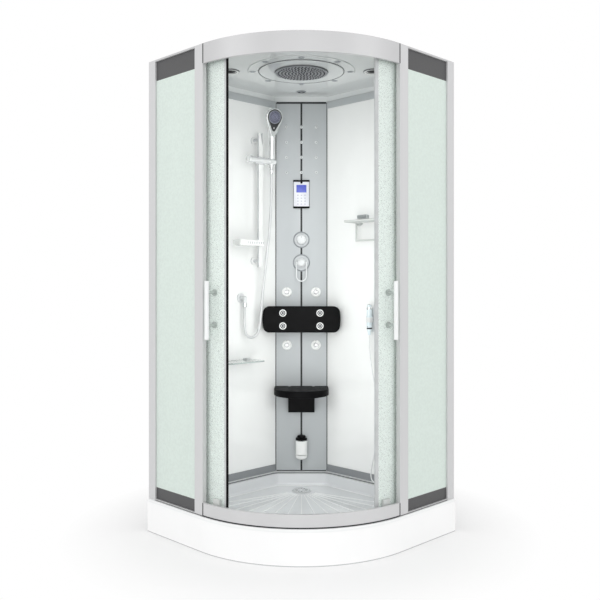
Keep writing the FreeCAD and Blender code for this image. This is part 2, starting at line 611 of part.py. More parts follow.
def door_posts():
    post = hollow(FAR - POST_T, FAR, POST_V0, POST_V1)
    slot = box(SIDE_GLASS_U0 - CLEAR, SIDE_GLASS_U1 + CLEAR, POST_V0 - 1, POST_V0 + SLOT_DEPTH,
               TRAY_DECK - 1, HEIGHT - TOP_PLATE_T + CLEAR)
    notch = sector(track_profile(CLEAR), -TRACK_HALF, -30)
    return both(from_corner(post.cut(slot)).cut(notch))


def side_glass():
    pane = box(SIDE_GLASS_U0, SIDE_GLASS_U1, PROFILE_W - SLOT_DEPTH + CLEAR, POST_V0 + SLOT_DEPTH - CLEAR,
               TRAY_DECK + BASE_PLATE_T + CLEAR, HEIGHT - TOP_PLATE_T - CLEAR)
    return both(from_corner(pane))


# ---- doors (modelled on the left, angles negative; the right one is the mirror image) -------------
EDGE = -DOOR_OPEN                             # leading edge of the left door as it stands open
GLASS_EDGE = EDGE - SEAL_SPAN
TRAIL = GLASS_EDGE - DOOR_SPAN
FIT_ANGLES = {"front": EDGE - FIT_FRONT, "rear": EDGE - FIT_REAR}
GRIP_ANGLE = EDGE - HANDLE_ANGLE


def door_glass():
    glass = ring_sector(GLASS_R0, GLASS_R1, DOOR_BOTTOM, DOOR_TOP, TRAIL, GLASS_EDGE)
    holes = [arc_rod(AXLE_R + 0.2, a, z, GLASS_R0 - 2, GLASS_R1 + 2)
             for a in FIT_ANGLES.values() for z in (WHEEL_Z, SHOE_BOLT_Z)]
    holes += [arc_rod(AXLE_R + 0.2, GRIP_ANGLE, z, GLASS_R0 - 2, GLASS_R1 + 2) for z in HANDLE_FIX]
    return drilled(glass, *holes)


def door_seal():
    """Seal on the leading edge, gripping the glass on both faces."""
    top = LEDGE_Z - 2
    body = ring_sector(GLASS_R0 - SEAL_T, GLASS_R1 + SEAL_T, DOOR_BOTTOM, top,
                       GLASS_EDGE - SEAL_GRIP, EDGE - MEET)
    groove = ring_sector(GLASS_R0 - CLEAR, GLASS_R1 + CLEAR, DOOR_BOTTOM - 1, top + 1,
                         GLASS_EDGE - SEAL_GRIP - 1, GLASS_EDGE + CLEAR_ANGLE)
    return body.cut(groove)


def door_handle():
    a, axis_r = GRIP_ANGLE, GLASS_R1 + HANDLE_STAND
    x, y, _ = on_arc(axis_r, a, 0)
    r, z0, z1 = HANDLE_R, HANDLE_Z0, HANDLE_Z1
    bar = turned([(0, z0), (r - 2, z0), (r, z0 + 2), (r, z1 - 2), (r - 2, z1), (0, z1)], (x, y, 0))
    pieces = [bar]
    for z in HANDLE_FIX:
        pieces.append(arc_rod(HANDLE_STEM_R, a, z, GLASS_R1 + CLEAR, axis_r))
        pieces.append(arc_rod(HANDLE_DISC_R, a, z, GLASS_R1 + CLEAR, GLASS_R1 + CLEAR + HANDLE_DISC_T))
        pieces.append(arc_rod(AXLE_R, a, z, GLASS_R0 - CLEAR - 1, GLASS_R1 + CLEAR + 1))
        pieces.append(arc_rod(HANDLE_DISC_R, a, z, GLASS_R0 - CLEAR - HANDLE_DISC_T, GLASS_R0 - CLEAR))
    return join(*pieces)


def door_fittings():
    """Wheel axles at the top and guide shoes at the bottom, bolted through the glass."""
    solids = []
    for a in FIT_ANGLES.values():
        wheel_end = WHEEL_R0 + WHEEL_W + CLEAR
        solids.append(join(
            arc_rod(AXLE_R, a, WHEEL_Z, GLASS_R0 - CLEAR - 1, wheel_end + 1.5),
            arc_rod(BOLT_HEAD_R, a, WHEEL_Z, GLASS_R0 - CLEAR - BOLT_HEAD_T, GLASS_R0 - CLEAR),
            arc_rod(AXLE_R + 3, a, WHEEL_Z, GLASS_R1 + CLEAR, WHEEL_R0 - CLEAR),
            arc_rod(AXLE_R + 2, a, WHEEL_Z, wheel_end, wheel_end + 1.5)))
        half = math.degrees(SHOE_W / 2 / TRACK_RIB_R)
        block = ring_sector(GLASS_R1 + CLEAR, SHOE_R1, SHOE_BOTTOM, SHOE_TOP, a - half, a + half)
        gap = RIB_TRACK_W / 2 + CLEAR
        groove = ring_sector(TRACK_RIB_R - gap, TRACK_RIB_R + gap, SHOE_BOTTOM - 1,
                             TRAY_DECK + BASE_PLATE_T + RIB_TRACK_H + 1, a - half - 1, a + half + 1)
        solids.append(join(
            block.cut(groove),
            arc_rod(AXLE_R, a, SHOE_BOLT_Z, GLASS_R0 - CLEAR - 1, GLASS_R1 + CLEAR + 1),
            arc_rod(BOLT_HEAD_R, a, SHOE_BOLT_Z, GLASS_R0 - CLEAR - BOLT_HEAD_T, GLASS_R0 - CLEAR)))
    return group(*solids)


def door_wheel(a):
    r0, r1, w = AXLE_R + RUNNING, WHEEL_R, WHEEL_W
    profile = [(r0, 0), (r1 - 1, 0), (r1, 1), (r1, w - 1), (r1 - 1, w), (r0, w)]
    start = V(*on_arc(WHEEL_R0, a, WHEEL_Z))
    return turned(profile, start, V(*on_arc(WHEEL_R0 + 1, a, WHEEL_Z)) - start)


# ---- walls, column and roof ---------------------------------------------------------------------
def wall_panels():
    u1 = FAR - PROFILE_T + SLOT_DEPTH - CLEAR
    panel = box(PANEL_START, u1, WALL_PANEL_N, WALL_FACE, TRAY_DECK, PANEL_TOP)
    return both(from_corner(panel))


def column_holes(r_extra=0.0):
    """Places where fittings pass through the column."""
    deep = COLUMN_D - SPINE_DEPTH - COLUMN_T - 3
    holes = [front_rod(SPINDLE_R + 12 + r_extra, 0, z, deep, COLUMN_D + 1) for z in (DIVERTER_Z, MIXER_Z)]
    holes.append(front_rod(STEAM_PIPE_R + 1, 0, STEAM_NECK_Z, deep, COLUMN_D + 1))
    for side in (-1, 1):
        holes += [front_rod(MICRO_STEM_R + CLEAR, side * MICRO_X, z, deep, COLUMN_D + 1) for z in MICRO_Z]
        holes += [front_rod(JET_R - 5 + CLEAR, side * JET_X, z, deep, COLUMN_D + 1) for z in JET_Z]
        holes.append(front_rod(STANDOFF_R - 4, side * PAD_JET_X, PAD_Z, deep, COLUMN_D + 1))
    return holes


def column_panels():
    z0, z1 = TRAY_DECK + GASKET_H, PANEL_TOP - GASKET_H
    d0 = COLUMN_D - COLUMN_T
    web = front_box(SLIT / 2, COLUMN_HALF, d0, COLUMN_D, z0, z1)
    lip = front_box(SLIT / 2, SLIT / 2 + 2, COLUMN_D - COLUMN_FLANGE, COLUMN_D, z0, z1)
    lip = lip.cut(front_box(0, SPINE_HALF, 0, d0 - 1, z0 - 1, z1 + 1))
    panel = join(web, lip)
    return drilled(both(panel), *column_holes())


def column_spine():
    """Dark channel behind the slit, edge seals along the walls and gaskets above and below."""
    z0, z1 = TRAY_DECK, PANEL_TOP
    face = COLUMN_D - COLUMN_T - 1
    back, t = face - SPINE_DEPTH, SPINE_T
    channel = front_box(-SPINE_HALF, SPINE_HALF, back, face, z0, z1)
    channel = channel.cut(front_box(-SPINE_HALF + t, SPINE_HALF - t, back - 1, face - t, z0 - 1, z1 + 1))
    reach = WALL_FACE * ROOT2 + CLEAR              # half width lost to the wall panels at any depth
    front, d0 = COLUMN_D, COLUMN_D - COLUMN_T - 4
    rear = COLUMN_D - COLUMN_T - CLEAR
    plan = [(COLUMN_HALF - 12, d0), (d0 - reach, d0), (front - reach, front), (COLUMN_HALF + CLEAR, front),
            (COLUMN_HALF + CLEAR, rear), (COLUMN_HALF - 12, rear)]
    edge = prism([(x, BACK_Y - d) for x, d in plan], z0 + GASKET_H, z1 - GASKET_H)
    half = COLUMN_D - COLUMN_T - 4 - reach
    gaskets = [front_box(-half, half, face + CLEAR, COLUMN_D - 1, za, zb)
               for za, zb in ((z0, z0 + GASKET_H), (z1 - GASKET_H, z1))]
    return group(drilled(channel, *column_holes()), edge, mirrored(edge), *gaskets)


def cove_loft(wall, back, z0, z1):
    """The ceiling's hollow, narrower at its top by the cove's width."""
    def ring(n, d, z):
        foot = d * ROOT2 - n
        pts = [V(foot, n, z), V(SIDE, n, z), V(SIDE, SIDE, z), V(n, SIDE, z), V(n, foot, z)]
        return Part.makePolygon(pts + pts[:1])
    loft = Part.makeLoft([ring(wall, back, z0), ring(wall + COVE, back + COVE * ROOT2, z1)], True, True)
    return from_corner(loft)


def roof_panel():
    t, z0, z1 = ROOF_T, PANEL_TOP, CEILING_Z + ROOF_T
    disc = rod(ROOF_R, (0, ARC_Y, z0), (0, ARC_Y, z1))
    plan = prism([(0, 0), (SIDE, 0), (SIDE, SIDE), (0, SIDE)], z0, z1)
    strips = join(box(0, FAR - PROFILE_T - CLEAR, 0, ROOF_STRIP, z0, z0 + t),
                  box(0, ROOF_STRIP, 0, FAR - PROFILE_T - CLEAR, z0, z0 + t))
    inside = from_corner(plan).common(disc)
    flange = join(inside.common(box(-SIDE, SIDE, -SIDE, SIDE, z0, z0 + t)), from_corner(strips))
    raised = cove_loft(WALL_FACE - t, COLUMN_D - t, z0, z1).common(disc)
    core = rod(ROOF_R - UPSTAND_T, (0, ARC_Y, z0 - 1), (0, ARC_Y, z1 + 1))
    hollow_under = cove_loft(WALL_FACE, COLUMN_D, z0, CEILING_Z).common(core)
    reach = FRONT_HALF + math.degrees(math.acos((CENTRE - WALL_FACE) / ROOF_R)) - 10
    lip = ring_sector(ROOF_R - UPSTAND_T, ROOF_R, z0, HEIGHT - TOP_PLATE_T, -reach, reach)
    roof = join(flange, raised, lip).cut(hollow_under)
    holes = [front_hole(INLET_R + 1, HEAD_D, z0 - 1, z1 + 1),
             front_hole(VENT_DUCT_R + CLEAR, VENT_D, z0 - 1, z1 + 1)]
    holes += [front_hole(SPEAKER_BODY_R + CLEAR, SPEAKER_D, z0 - 1, z1 + 1, x)
              for x in (-SPEAKER_X, SPEAKER_X)]
    holes += [rod(LIGHT_R + CLEAR, light_place(i, z0), light_place(i, z1 + 1)) for i in range(LIGHTS)]
    holes.append(front_hole(SUPPLY_R + 1, VALVE_D0 + 12, z0 - 1, z1 + 1, RISER_X))
    return drilled(roof, *holes)


def light_place(i, z):
    a = math.radians(360 / LIGHTS * i)
    return at_depth(LIGHT_CIRCLE * math.sin(a), HEAD_D + LIGHT_CIRCLE * math.cos(a), z)


def rain_head():
    z1 = CEILING_Z
    z0 = z1 - HEAD_T
    r = HEAD_R
    top = z1 + ROOF_T
    return turned([(0, z0), (r - 3, z0), (r, z0 + 3), (r, z1), (INLET_R, z1), (INLET_R, top), (0, top)],
                  at_depth(0, HEAD_D, 0))


def light_ring():
    """Raised ring round the overhead shower, a shallow plate round it and the lenses in that plate."""
    z1 = CEILING_Z
    z0 = z1 - RING_T
    r0, r1 = HEAD_R + 2, RING_R
    ring = turned([(r0, z0 + 1), (r0 + 2, z0), (r1 - 4, z0), (r1, z0 + 4), (r1, z1), (r0, z1)],
                  at_depth(0, HEAD_D, 0))
    p0, p1 = RING_R + CLEAR, PLATE_R
    plate = turned([(p0, z1 - PLATE_T), (p1 - 2, z1 - PLATE_T), (p1, z1 - 1), (p1, z1), (p0, z1)],
                   at_depth(0, HEAD_D, 0))
    holes = [rod(LIGHT_R + CLEAR, light_place(i, z0), light_place(i, z1 + 1)) for i in range(LIGHTS)]
    lenses = []
    for i in range(LIGHTS):
        low, high = light_place(i, z1 - LIGHT_T), light_place(i, z1 + ROOF_T)
        lenses.append(rod(LIGHT_R, low, high))
    return group(ring, drilled(plate, *holes), *lenses)


def speakers():
    z1 = CEILING_Z
    z0 = z1 - SPEAKER_T
    r, c, b = SPEAKER_R, SPEAKER_CONE_R, SPEAKER_BODY_R
    top = z1 + SPEAKER_BODY_H
    profile = [(0, z0 + 6), (c * 0.3, z0 + 6), (c, z0 + 1), (c + 2, z0), (r - 3, z0), (r, z0 + 2), (r, z1),
               (b, z1), (b, z1 + 8), (b * 0.75, top), (0, top)]
    return group(*[turned(profile, at_depth(x, SPEAKER_D, 0)) for x in (-SPEAKER_X, SPEAKER_X)])


def vent_housing():
    """Grille, duct and the spider that carries the fan's pin."""
    z1 = CEILING_Z
    z0 = z1 - VENT_T
    r, b, t = VENT_R, VENT_DUCT_R, 2.0
    centre = at_depth(0, VENT_D, 0)
    duct = turned([(b - t, z0), (r, z0 + 2), (r, z1), (b, z1), (b, VENT_TOP), (b - t, VENT_TOP)], centre)
    bars = [front_box(x - 1, x + 1, VENT_D - b + 1, VENT_D + b - 1, z0 + 1, z0 + 3)
            for x in range(-15, 16, 5)]
    spider = [front_box(-b + 1, b - 1, VENT_D - 1.5, VENT_D + 1.5, VENT_TOP - 3, VENT_TOP),
              front_box(-1.5, 1.5, VENT_D - b + 1, VENT_D + b - 1, VENT_TOP - 3, VENT_TOP)]
    hub = rod(5, at_depth(0, VENT_D, VENT_TOP - 8), at_depth(0, VENT_D, VENT_TOP))
    pin = rod(FAN_PIN_R, at_depth(0, VENT_D, VENT_TOP - 8 - FAN_H - 2), at_depth(0, VENT_D, VENT_TOP - 6))
    keep = rod(b - 0.5, at_depth(0, VENT_D, z0), at_depth(0, VENT_D, VENT_TOP))
    inner = [piece.common(keep) for piece in bars + spider]
    return join(duct, hub, pin, *inner)


def fan_impeller():
    z1 = VENT_TOP - 8 - CLEAR
    z0 = z1 - FAN_H
    centre = at_depth(0, VENT_D, 0)
    hub = turned([(FAN_PIN_R + RUNNING, z0), (6, z0), (6, z1), (FAN_PIN_R + RUNNING, z1)], centre)
    blades = []
    for i in range(FAN_BLADES):
        blade = box(5, FAN_R, -0.8, 0.8, -4.5, 4.5)
        blade.rotate(V(0, 0, 0), V(1, 0, 0), 38)
        blade.rotate(V(0, 0, 0), V(0, 0, 1), 360 / FAN_BLADES * i)
        blade.translate(V(*at_depth(0, VENT_D, (z0 + z1) / 2)))
        blades.append(blade)
    return join(hub, *blades)


# ---- fittings on the column ---------------------------------------------------------------------
def control_panel():
    d0, d1 = COLUMN_D + CLEAR, COLUMN_D + CLEAR + CONTROL_T
    w, h = CONTROL_W / 2, CONTROL_H / 2
    case = front_box(-w, w, d0, d1, PANEL_Z - h, PANEL_Z + h)
    case = rounded(case, CONTROL_EDGE, lambda e: abs(e.BoundBox.YMin - (BACK_Y - d1)) < 0.01 and
                   abs(e.BoundBox.YMax - (BACK_Y - d1)) < 0.01)
    window = front_box(-w + WINDOW_SIDE, w - WINDOW_SIDE, d1 - 1, d1 + 1,
                       PANEL_Z + WINDOW_LOW, PANEL_Z + h - WINDOW_HIGH)
    return case.cut(window)


def micro_jet(x, z):
    front = COLUMN_D + CLEAR
    head = turned([(0, 0), (MICRO_R, 0), (MICRO_R - 1, MICRO_T - 1), (MICRO_R - 3, MICRO_T), (0, MICRO_T)],
                  at_depth(x, front, z), (0, -1, 0))
    return join(head, front_rod(MICRO_STEM_R, x, z, COLUMN_D - COLUMN_T - CLEAR, front + 1))


def jet_ring(x, z):
    """Body jet: flange, tail behind the panel and the round seat of its swivelling nozzle."""
    front, tail = COLUMN_D + CLEAR, COLUMN_D - 22
    r = JET_R
    body = join(turned([(0, 0), (r, 0), (r, JET_T - 2), (r - 3, JET_T), (0, JET_T)],
                       at_depth(x, front, z), (0, -1, 0)),
                front_rod(r - 5, x, z, tail, front + 1))
    seat = Part.makeSphere(JET_BALL_R + 0.1, V(*at_depth(x, COLUMN_D, z)))
    outside = front + JET_T + 1
    mouth = cone(JET_BALL_R - 3, JET_BALL_R + 5, at_depth(x, COLUMN_D, z), at_depth(x, outside, z))
    return body.cut(join(seat, mouth, front_rod(5, x, z, tail - 1, COLUMN_D)))


def pad_jet(x, z):
    face, r = PAD_D + PAD_T, PAD_JET_R
    profile = [(0, 0), (r, 0), (r, 3), (r - 3, 5), (9, 5), (7, 2), (4, 2), (3, 4), (0, 4)]
    return turned(profile, at_depth(x, face, z), (0, -1, 0))


def spray_jets():
    micro = [micro_jet(x, z) for x in (-MICRO_X, 0, MICRO_X) for z in MICRO_Z]
    rings = [jet_ring(x, z) for x in (-JET_X, JET_X) for z in JET_Z]
    pads = [pad_jet(x, PAD_Z + z) for x in (-PAD_JET_X, PAD_JET_X) for z in (-PAD_JET_Z, PAD_JET_Z)]
    return group(*micro, *rings, *pads)


def jet_nozzle(x, z):
    ball = Part.makeSphere(JET_BALL_R, V(*at_depth(x, COLUMN_D, z)))
    spout = front_rod(JET_SPOUT_R, x, z, COLUMN_D, COLUMN_D + JET_SPOUT)
    return join(ball, spout).cut(front_rod(2.5, x, z, COLUMN_D - JET_BALL_R - 1, COLUMN_D + JET_SPOUT + 1))


def valve_body():
    """Valve behind the column with the rosettes of its two controls."""
    z0, z1 = MIXER_Z - VALVE_MARGIN, DIVERTER_Z + VALVE_MARGIN
    rear = COLUMN_D - COLUMN_T - 1 - SPINE_DEPTH - 1
    solids = [front_box(-VALVE_W / 2, VALVE_W / 2, VALVE_D0, rear, z0, z1)]
    for z, r in ((DIVERTER_Z, DIVERTER_ROSE_R), (MIXER_Z, MIXER_ROSE_R)):
        solids.append(front_rod(SPINDLE_R + 11, 0, z, rear - 2, COLUMN_D + CLEAR + 1))
        solids.append(turned([(0, 0), (r, 0), (r, ROSE_T - 3), (r - 5, ROSE_T), (0, ROSE_T)],
                             at_depth(0, COLUMN_D + CLEAR, z), (0, -1, 0)))
        solids.append(front_rod(SPINDLE_R, 0, z, COLUMN_D, COLUMN_D + ROSE_T + SPINDLE_L))
    return join(*solids)


def spindle_bore(z):
    return front_rod(SPINDLE_R + RUNNING, 0, z, COLUMN_D, COLUMN_D + ROSE_T + SPINDLE_L + CLEAR)


def diverter_knob():
    start = COLUMN_D + CLEAR + ROSE_T + CLEAR
    r, t = DIVERTER_R, DIVERTER_T
    knob = turned([(0, 0), (r, 0), (r - 1, t - 4), (r - 5, t), (0, t)], at_depth(0, start, DIVERTER_Z),
                  (0, -1, 0))
    grips = []
    for i in range(KNOB_GRIPS):
        a = math.radians(360 / KNOB_GRIPS * i)
        grips.append(front_rod(KNOB_GRIP_R, (r + 1) * math.cos(a), DIVERTER_Z + (r + 1) * math.sin(a),
                               start + 5, start + t + 1))
    return drilled(knob, spindle_bore(DIVERTER_Z), *grips)


def mixer_cap():
    """Round cap that turns for temperature; the loop lever hangs on its two side pins."""
    start = COLUMN_D + CLEAR + ROSE_T + CLEAR
    r, t = MIXER_R, MIXER_T
    cap = turned([(0, 0), (r, 0), (r, t - 6), (r - 6, t), (0, t)], at_depth(0, start, MIXER_Z), (0, -1, 0))
    reach = LEVER_W / 2 - 1.5
    pin = rod(LEVER_PIN_R, at_depth(-reach, LEVER_D, MIXER_Z), at_depth(reach, LEVER_D, MIXER_Z))
    return join(cap, pin).cut(spindle_bore(MIXER_Z))


def mixer_lever():
    """A loop of flat bar: two cheeks on the cap's pins, joined by a half round below."""
    half, t, z = LEVER_W / 2, LEVER_BAR, MIXER_Z
    d0, d1 = LEVER_D - LEVER_BAR / 2, LEVER_D + LEVER_BAR / 2
    turn_z = z - LEVER_DROP + half
    plate = join(front_box(-half, half, d0, d1, turn_z, z), front_rod(half, 0, turn_z, d0, d1))
    gap = half - t * 0.62
    inside = join(front_box(-gap, gap, d0 - 1, d1 + 1, turn_z, z + 1),
                  front_rod(gap, 0, turn_z, d0 - 1, d1 + 1))
    inner = MIXER_R + 1
    cheeks = [rod(t * 0.75, at_depth(s * inner, LEVER_D, z), at_depth(s * half, LEVER_D, z))
              for s in (-1, 1)]
    bore = rod(LEVER_PIN_R + RUNNING, at_depth(-half, LEVER_D, z), at_depth(half, LEVER_D, z))
    loop = plate.cut(inside).cut(front_box(-inner, inner, d0 - 1, d1 + 1, z - MIXER_R - 1, z + 1))
    return join(loop, *cheeks).cut(bore)


def backrest_pad():
    """Backrest with a crowned face and bowed ends, on two standoffs from the column."""
    w, h = PAD_W / 2, PAD_H / 2
    d0, d1 = PAD_D, PAD_D + PAD_T
    bow_r = (h * h + PAD_BOW * PAD_BOW) / (2 * PAD_BOW)
    pad = front_box(-w, w, d0, d1, PAD_Z - h, PAD_Z + h)
    for side in (-1, 1):
        pad = pad.common(front_rod(bow_r, side * (w - bow_r), PAD_Z, d0, d1))
    pad = rounded(pad, PAD_CORNER, lambda e: e.BoundBox.YLength > PAD_T - 1 and e.BoundBox.XLength < 1)
    pad = rounded(pad, PAD_CROWN, lambda e: abs(e.BoundBox.YMin - (BACK_Y - d1)) < 0.01 and
                  abs(e.BoundBox.YMax - (BACK_Y - d1)) < 0.01)
    stand = [front_rod(STANDOFF_R, s * PAD_JET_X, PAD_Z, COLUMN_D, d0 + 1) for s in (-1, 1)]
    bores = [front_rod(STANDOFF_R - 5, s * PAD_JET_X, PAD_Z, COLUMN_D - 1, d0 - 5) for s in (-1, 1)]
    return join(pad, *stand).cut(group(*bores))


PIVOT_Z = SEAT_TOP - SEAT_T / 2
PIVOT_D = COLUMN_D + SEAT_BACK_GAP + SEAT_T / 2
EAR_X1 = BRACKET_W / 2
EAR_X0 = EAR_X1 - EAR_T


def seat_bracket():
    """Wall bracket with two ears and the hinge pin of the seat."""
    w = BRACKET_W / 2
    d0, d1 = COLUMN_D, COLUMN_D + BRACKET_REACH
    top = SEAT_TOP - SEAT_T - CLEAR
    block = front_box(-w, w, d0, d1, BRACKET_BOTTOM, top)
    block = rounded(block, BRACKET_EDGE,
                    lambda e: level_at(BRACKET_BOTTOM)(e) and e.BoundBox.YMax < BACK_Y - d1 + 1)
    pieces = [block]
    for s in (-1, 1):
        x0, x1 = sorted((s * EAR_X0, s * EAR_X1))
        pieces.append(front_box(x0, x1, PIVOT_D - EAR_R, PIVOT_D + EAR_R, top - 1, PIVOT_Z))
        pieces.append(rod(EAR_R, at_depth(x0, PIVOT_D, PIVOT_Z), at_depth(x1, PIVOT_D, PIVOT_Z)))
    pin = rod(HINGE_PIN_R, at_depth(-EAR_X1, PIVOT_D, PIVOT_Z), at_depth(EAR_X1, PIVOT_D, PIVOT_Z))
    return join(*pieces, pin)


def seat():
    """Half-round seat that folds up about the bracket's pin."""
    half, z0, z1 = SEAT_W / 2, SEAT_TOP - SEAT_T, SEAT_TOP
    straight = SEAT_REACH - half
    board = join(front_box(-half, half, PIVOT_D, straight, z0, z1), front_hole(half, straight, z0, z1))
    board = board.cut(front_box(-half - 1, half + 1, 0, PIVOT_D, z0 - 1, z1 + 1))
    board = rounded(board, SEAT_EDGE, lambda e: level_at(z1)(e) and e.BoundBox.YMin < BACK_Y - PIVOT_D - 1)
    board = rounded(board, SEAT_EDGE, lambda e: level_at(z0)(e) and e.BoundBox.YMin < BACK_Y - PIVOT_D - 1)
    heel = rod(SEAT_T / 2, at_depth(-half + SEAT_EDGE, PIVOT_D, PIVOT_Z),
               at_depth(half - SEAT_EDGE, PIVOT_D, PIVOT_Z))
    notches = [front_box(*sorted((s * (EAR_X0 - 0.5), s * (EAR_X1 + 0.5))), PIVOT_D - SEAT_T,
                         PIVOT_D + SEAT_T / 2 + 1, z0 - 1, z1 + 1) for s in (-1, 1)]
    bore = rod(HINGE_PIN_R + RUNNING, at_depth(-half, PIVOT_D, PIVOT_Z), at_depth(half, PIVOT_D, PIVOT_Z))
    return drilled(join(board, heel), bore, *notches)


def steam_outlet():
    """Steam head with a round bottom, its neck into the column and the herb cup at its top."""
    r, z0, z1 = STEAM_R, STEAM_Z0, STEAM_Z1
    centre = at_depth(0, STEAM_D, 0)
    bends = [math.radians(90 * i / 6) for i in range(7)]
    dome = [(r * math.sin(a), z0 + STEAM_DOME * (1 - math.cos(a))) for a in bends]
    body = turned(dome + [(r, z1), (CAP_PLUG_R + 1, z1), (CAP_PLUG_R + 1, z1 - CAP_PLUG - 4),
                          (0, z1 - CAP_PLUG - 4)], centre)
    neck = front_rod(STEAM_NECK_R, 0, STEAM_NECK_Z, COLUMN_D + CLEAR, STEAM_D)
    flange = front_rod(STEAM_NECK_R + 8, 0, STEAM_NECK_Z, COLUMN_D + CLEAR, COLUMN_D + STEAM_GAP - 1)
    bore = front_rod(STEAM_PIPE_R + CLEAR, 0, STEAM_NECK_Z, COLUMN_D - 1, STEAM_D - 10)
    slot = front_box(-STEAM_R, STEAM_R, STEAM_D, STEAM_D + STEAM_R + 1, z0 + 26, z0 + 30)
    return join(body, neck, flange).cut(bore).cut(slot)


def aroma_cap():
    z = STEAM_Z1 + CLEAR
    r, h, p = CAP_R, CAP_H, CAP_PLUG_R
    return turned([(0, z - CAP_PLUG), (p, z - CAP_PLUG), (p, z), (r, z), (r, z + h - 5), (r - 5, z + h),
                   (0, z + h)], at_depth(0, STEAM_D, 0))


# ---- left wall ----------------------------------------------------------------------------------
def riser_rail():
    s0, s1 = RAIL_S - RAIL_W / 2, RAIL_S + RAIL_W / 2
    n0, n1 = RAIL_N - RAIL_D / 2, RAIL_N + RAIL_D / 2
    bar = box(s0, s1, n0, n1, RAIL_Z0, RAIL_Z1)
    bar = rounded(bar, RAIL_CORNER, upright)
    notch = [V(s0 + RAIL_PRONG_IN, n0 - 1, RAIL_Z1 + 1), V(s1 - RAIL_PRONG_OUT, n0 - 1, RAIL_Z1 + 1),
             V(s0 + RAIL_PRONG_IN, n0 - 1, RAIL_Z1 - RAIL_NOTCH)]
    notch = Part.Face(Part.makePolygon(notch + notch[:1])).extrude(V(0, RAIL_D + 2, 0))
    pieces = [bar.cut(notch)]
    for z in RAIL_FIX:
        pieces.append(rod(STEM_R, (RAIL_S, WALL_FACE, z), (RAIL_S, n0 + 2, z)))
        pieces.append(rod(ROSE_R, (RAIL_S, WALL_FACE, z), (RAIL_S, WALL_FACE + RAIL_ROSE_T, z)))
    return from_corner(join(*pieces))


def rail_hole(z0, z1):
    c = CLEAR
    hole = box(RAIL_S - RAIL_W / 2 - c, RAIL_S + RAIL_W / 2 + c, RAIL_N - RAIL_D / 2 - c,
               RAIL_N + RAIL_D / 2 + c, z0, z1)
    return rounded(hole, RAIL_CORNER, upright)


def sleeve(z, h):
    w = SLEEVE_WALL
    body = box(RAIL_S - RAIL_W / 2 - w, RAIL_S + RAIL_W / 2 + w, RAIL_N - RAIL_D / 2 - w,
               RAIL_N + RAIL_D / 2 + w, z - h / 2, z + h / 2)
    return rounded(body, SLEEVE_CORNER, upright)


def rail_slider():
    """Sleeve on the rail with its cross bar and clamp knob."""
    z, h = SLIDER_Z, SLIDER_H
    bar = rod(BAR_R, (BAR_S0, BAR_N, z), (BAR_S1, BAR_N, z))
    knob = rod(KNOB_R, (BAR_S1 - 1, BAR_N, z), (BAR_S1 + KNOB_W, BAR_N, z))
    knob = rounded(knob, KNOB_EDGE, lambda e: abs(e.BoundBox.XMin - BAR_S1 - KNOB_W) < 0.01)
    socket = rod(TILT_PIN_R + RUNNING, (BAR_S0 - 1, BAR_N, z), (BAR_S0 + TILT_PIN + 1, BAR_N, z))
    body = join(sleeve(z, h), bar, knob)
    return from_corner(body.cut(rail_hole(z - h, z + h)).cut(socket))


def grip_radius(z):
    """Radius of the hand shower's conical foot at a height."""
    share = (z - HANDLE_BOTTOM) / (SLIDER_Z + HOLDER_R - HANDLE_BOTTOM)
    return GRIP_R0 + (GRIP_R1 - GRIP_R0) * share


def handset_holder():
    """Cross piece with a conical bore, on a pin that turns in the cross bar's end."""
    s1 = BAR_S0 - CLEAR
    body = rod(HOLDER_R, (HOLDER_S0, BAR_N, SLIDER_Z), (s1, BAR_N, SLIDER_Z))
    body = rounded(body, KNOB_EDGE, lambda e: abs(e.BoundBox.XMax - HOLDER_S0) < 0.01)
    pin = rod(TILT_PIN_R, (s1 - 1, BAR_N, SLIDER_Z), (BAR_S0 + TILT_PIN, BAR_N, SLIDER_Z))
    z0, z1 = SLIDER_Z - HOLDER_R - 1, SLIDER_Z + HOLDER_R + 1
    cup = cone(grip_radius(z0) + CONE_GAP, grip_radius(z1) + CONE_GAP,
               (HOLDER_S, BAR_N, z0), (HOLDER_S, BAR_N, z1))
    return from_corner(join(body, pin).cut(cup))


def handset():
    """Hand shower: conical foot, grip, and a drop-shaped head that faces into the cabin."""
    top = SLIDER_Z + HOLDER_R
    s, n = HOLDER_S, BAR_N
    foot = cone(GRIP_R0, GRIP_R1, (s, n, HANDLE_BOTTOM), (s, n, top))
    lean = HEAD_N - BAR_N
    grip = cone(GRIP_R1, GRIP_R1 + 1.5, (s, n, top), (s, n + lean * 0.45, NECK_Z + 20))
    knee = Part.makeSphere(GRIP_R1, V(s, n, top))
    reach = HEAD_Z - NECK_Z
    angle = math.asin((SPRAY_R - GRIP_R1) / reach)
    cos_a, sin_a = math.cos(angle), math.sin(angle)
    r, g = SPRAY_R, GRIP_R1
    high_left, high_right = V(-r * cos_a, -r * sin_a, 0), V(r * cos_a, -r * sin_a, 0)
    low_left, low_right = V(-g * cos_a, -reach - g * sin_a, 0), V(g * cos_a, -reach - g * sin_a, 0)
    lines = [Part.LineSegment(high_left, low_left).toShape(),
             Part.Arc(low_left, V(0, -reach - g, 0), low_right).toShape(),
             Part.LineSegment(low_right, high_right).toShape(),
             Part.Arc(high_right, V(0, r, 0), high_left).toShape()]
    drop = Part.Face(Part.Wire(lines)).extrude(V(0, 0, SPRAY_T))
    drop = rounded(drop, SPRAY_FACE_EDGE, level_at(0))
    drop = rounded(drop, SPRAY_BACK_EDGE, level_at(SPRAY_T))
    drop.rotate(V(0, 0, 0), V(0, 1, 0), 180)
    drop.rotate(V(0, 0, 0), V(1, 0, 0), 90 - SPRAY_TILT)
    drop.translate(V(s, n + lean, HEAD_Z))
    body = join(foot, knee, grip, drop)
    body.rotate(V(s, n, 0), V(0, 0, 1), -SPRAY_YAW)
    return from_corner(body)


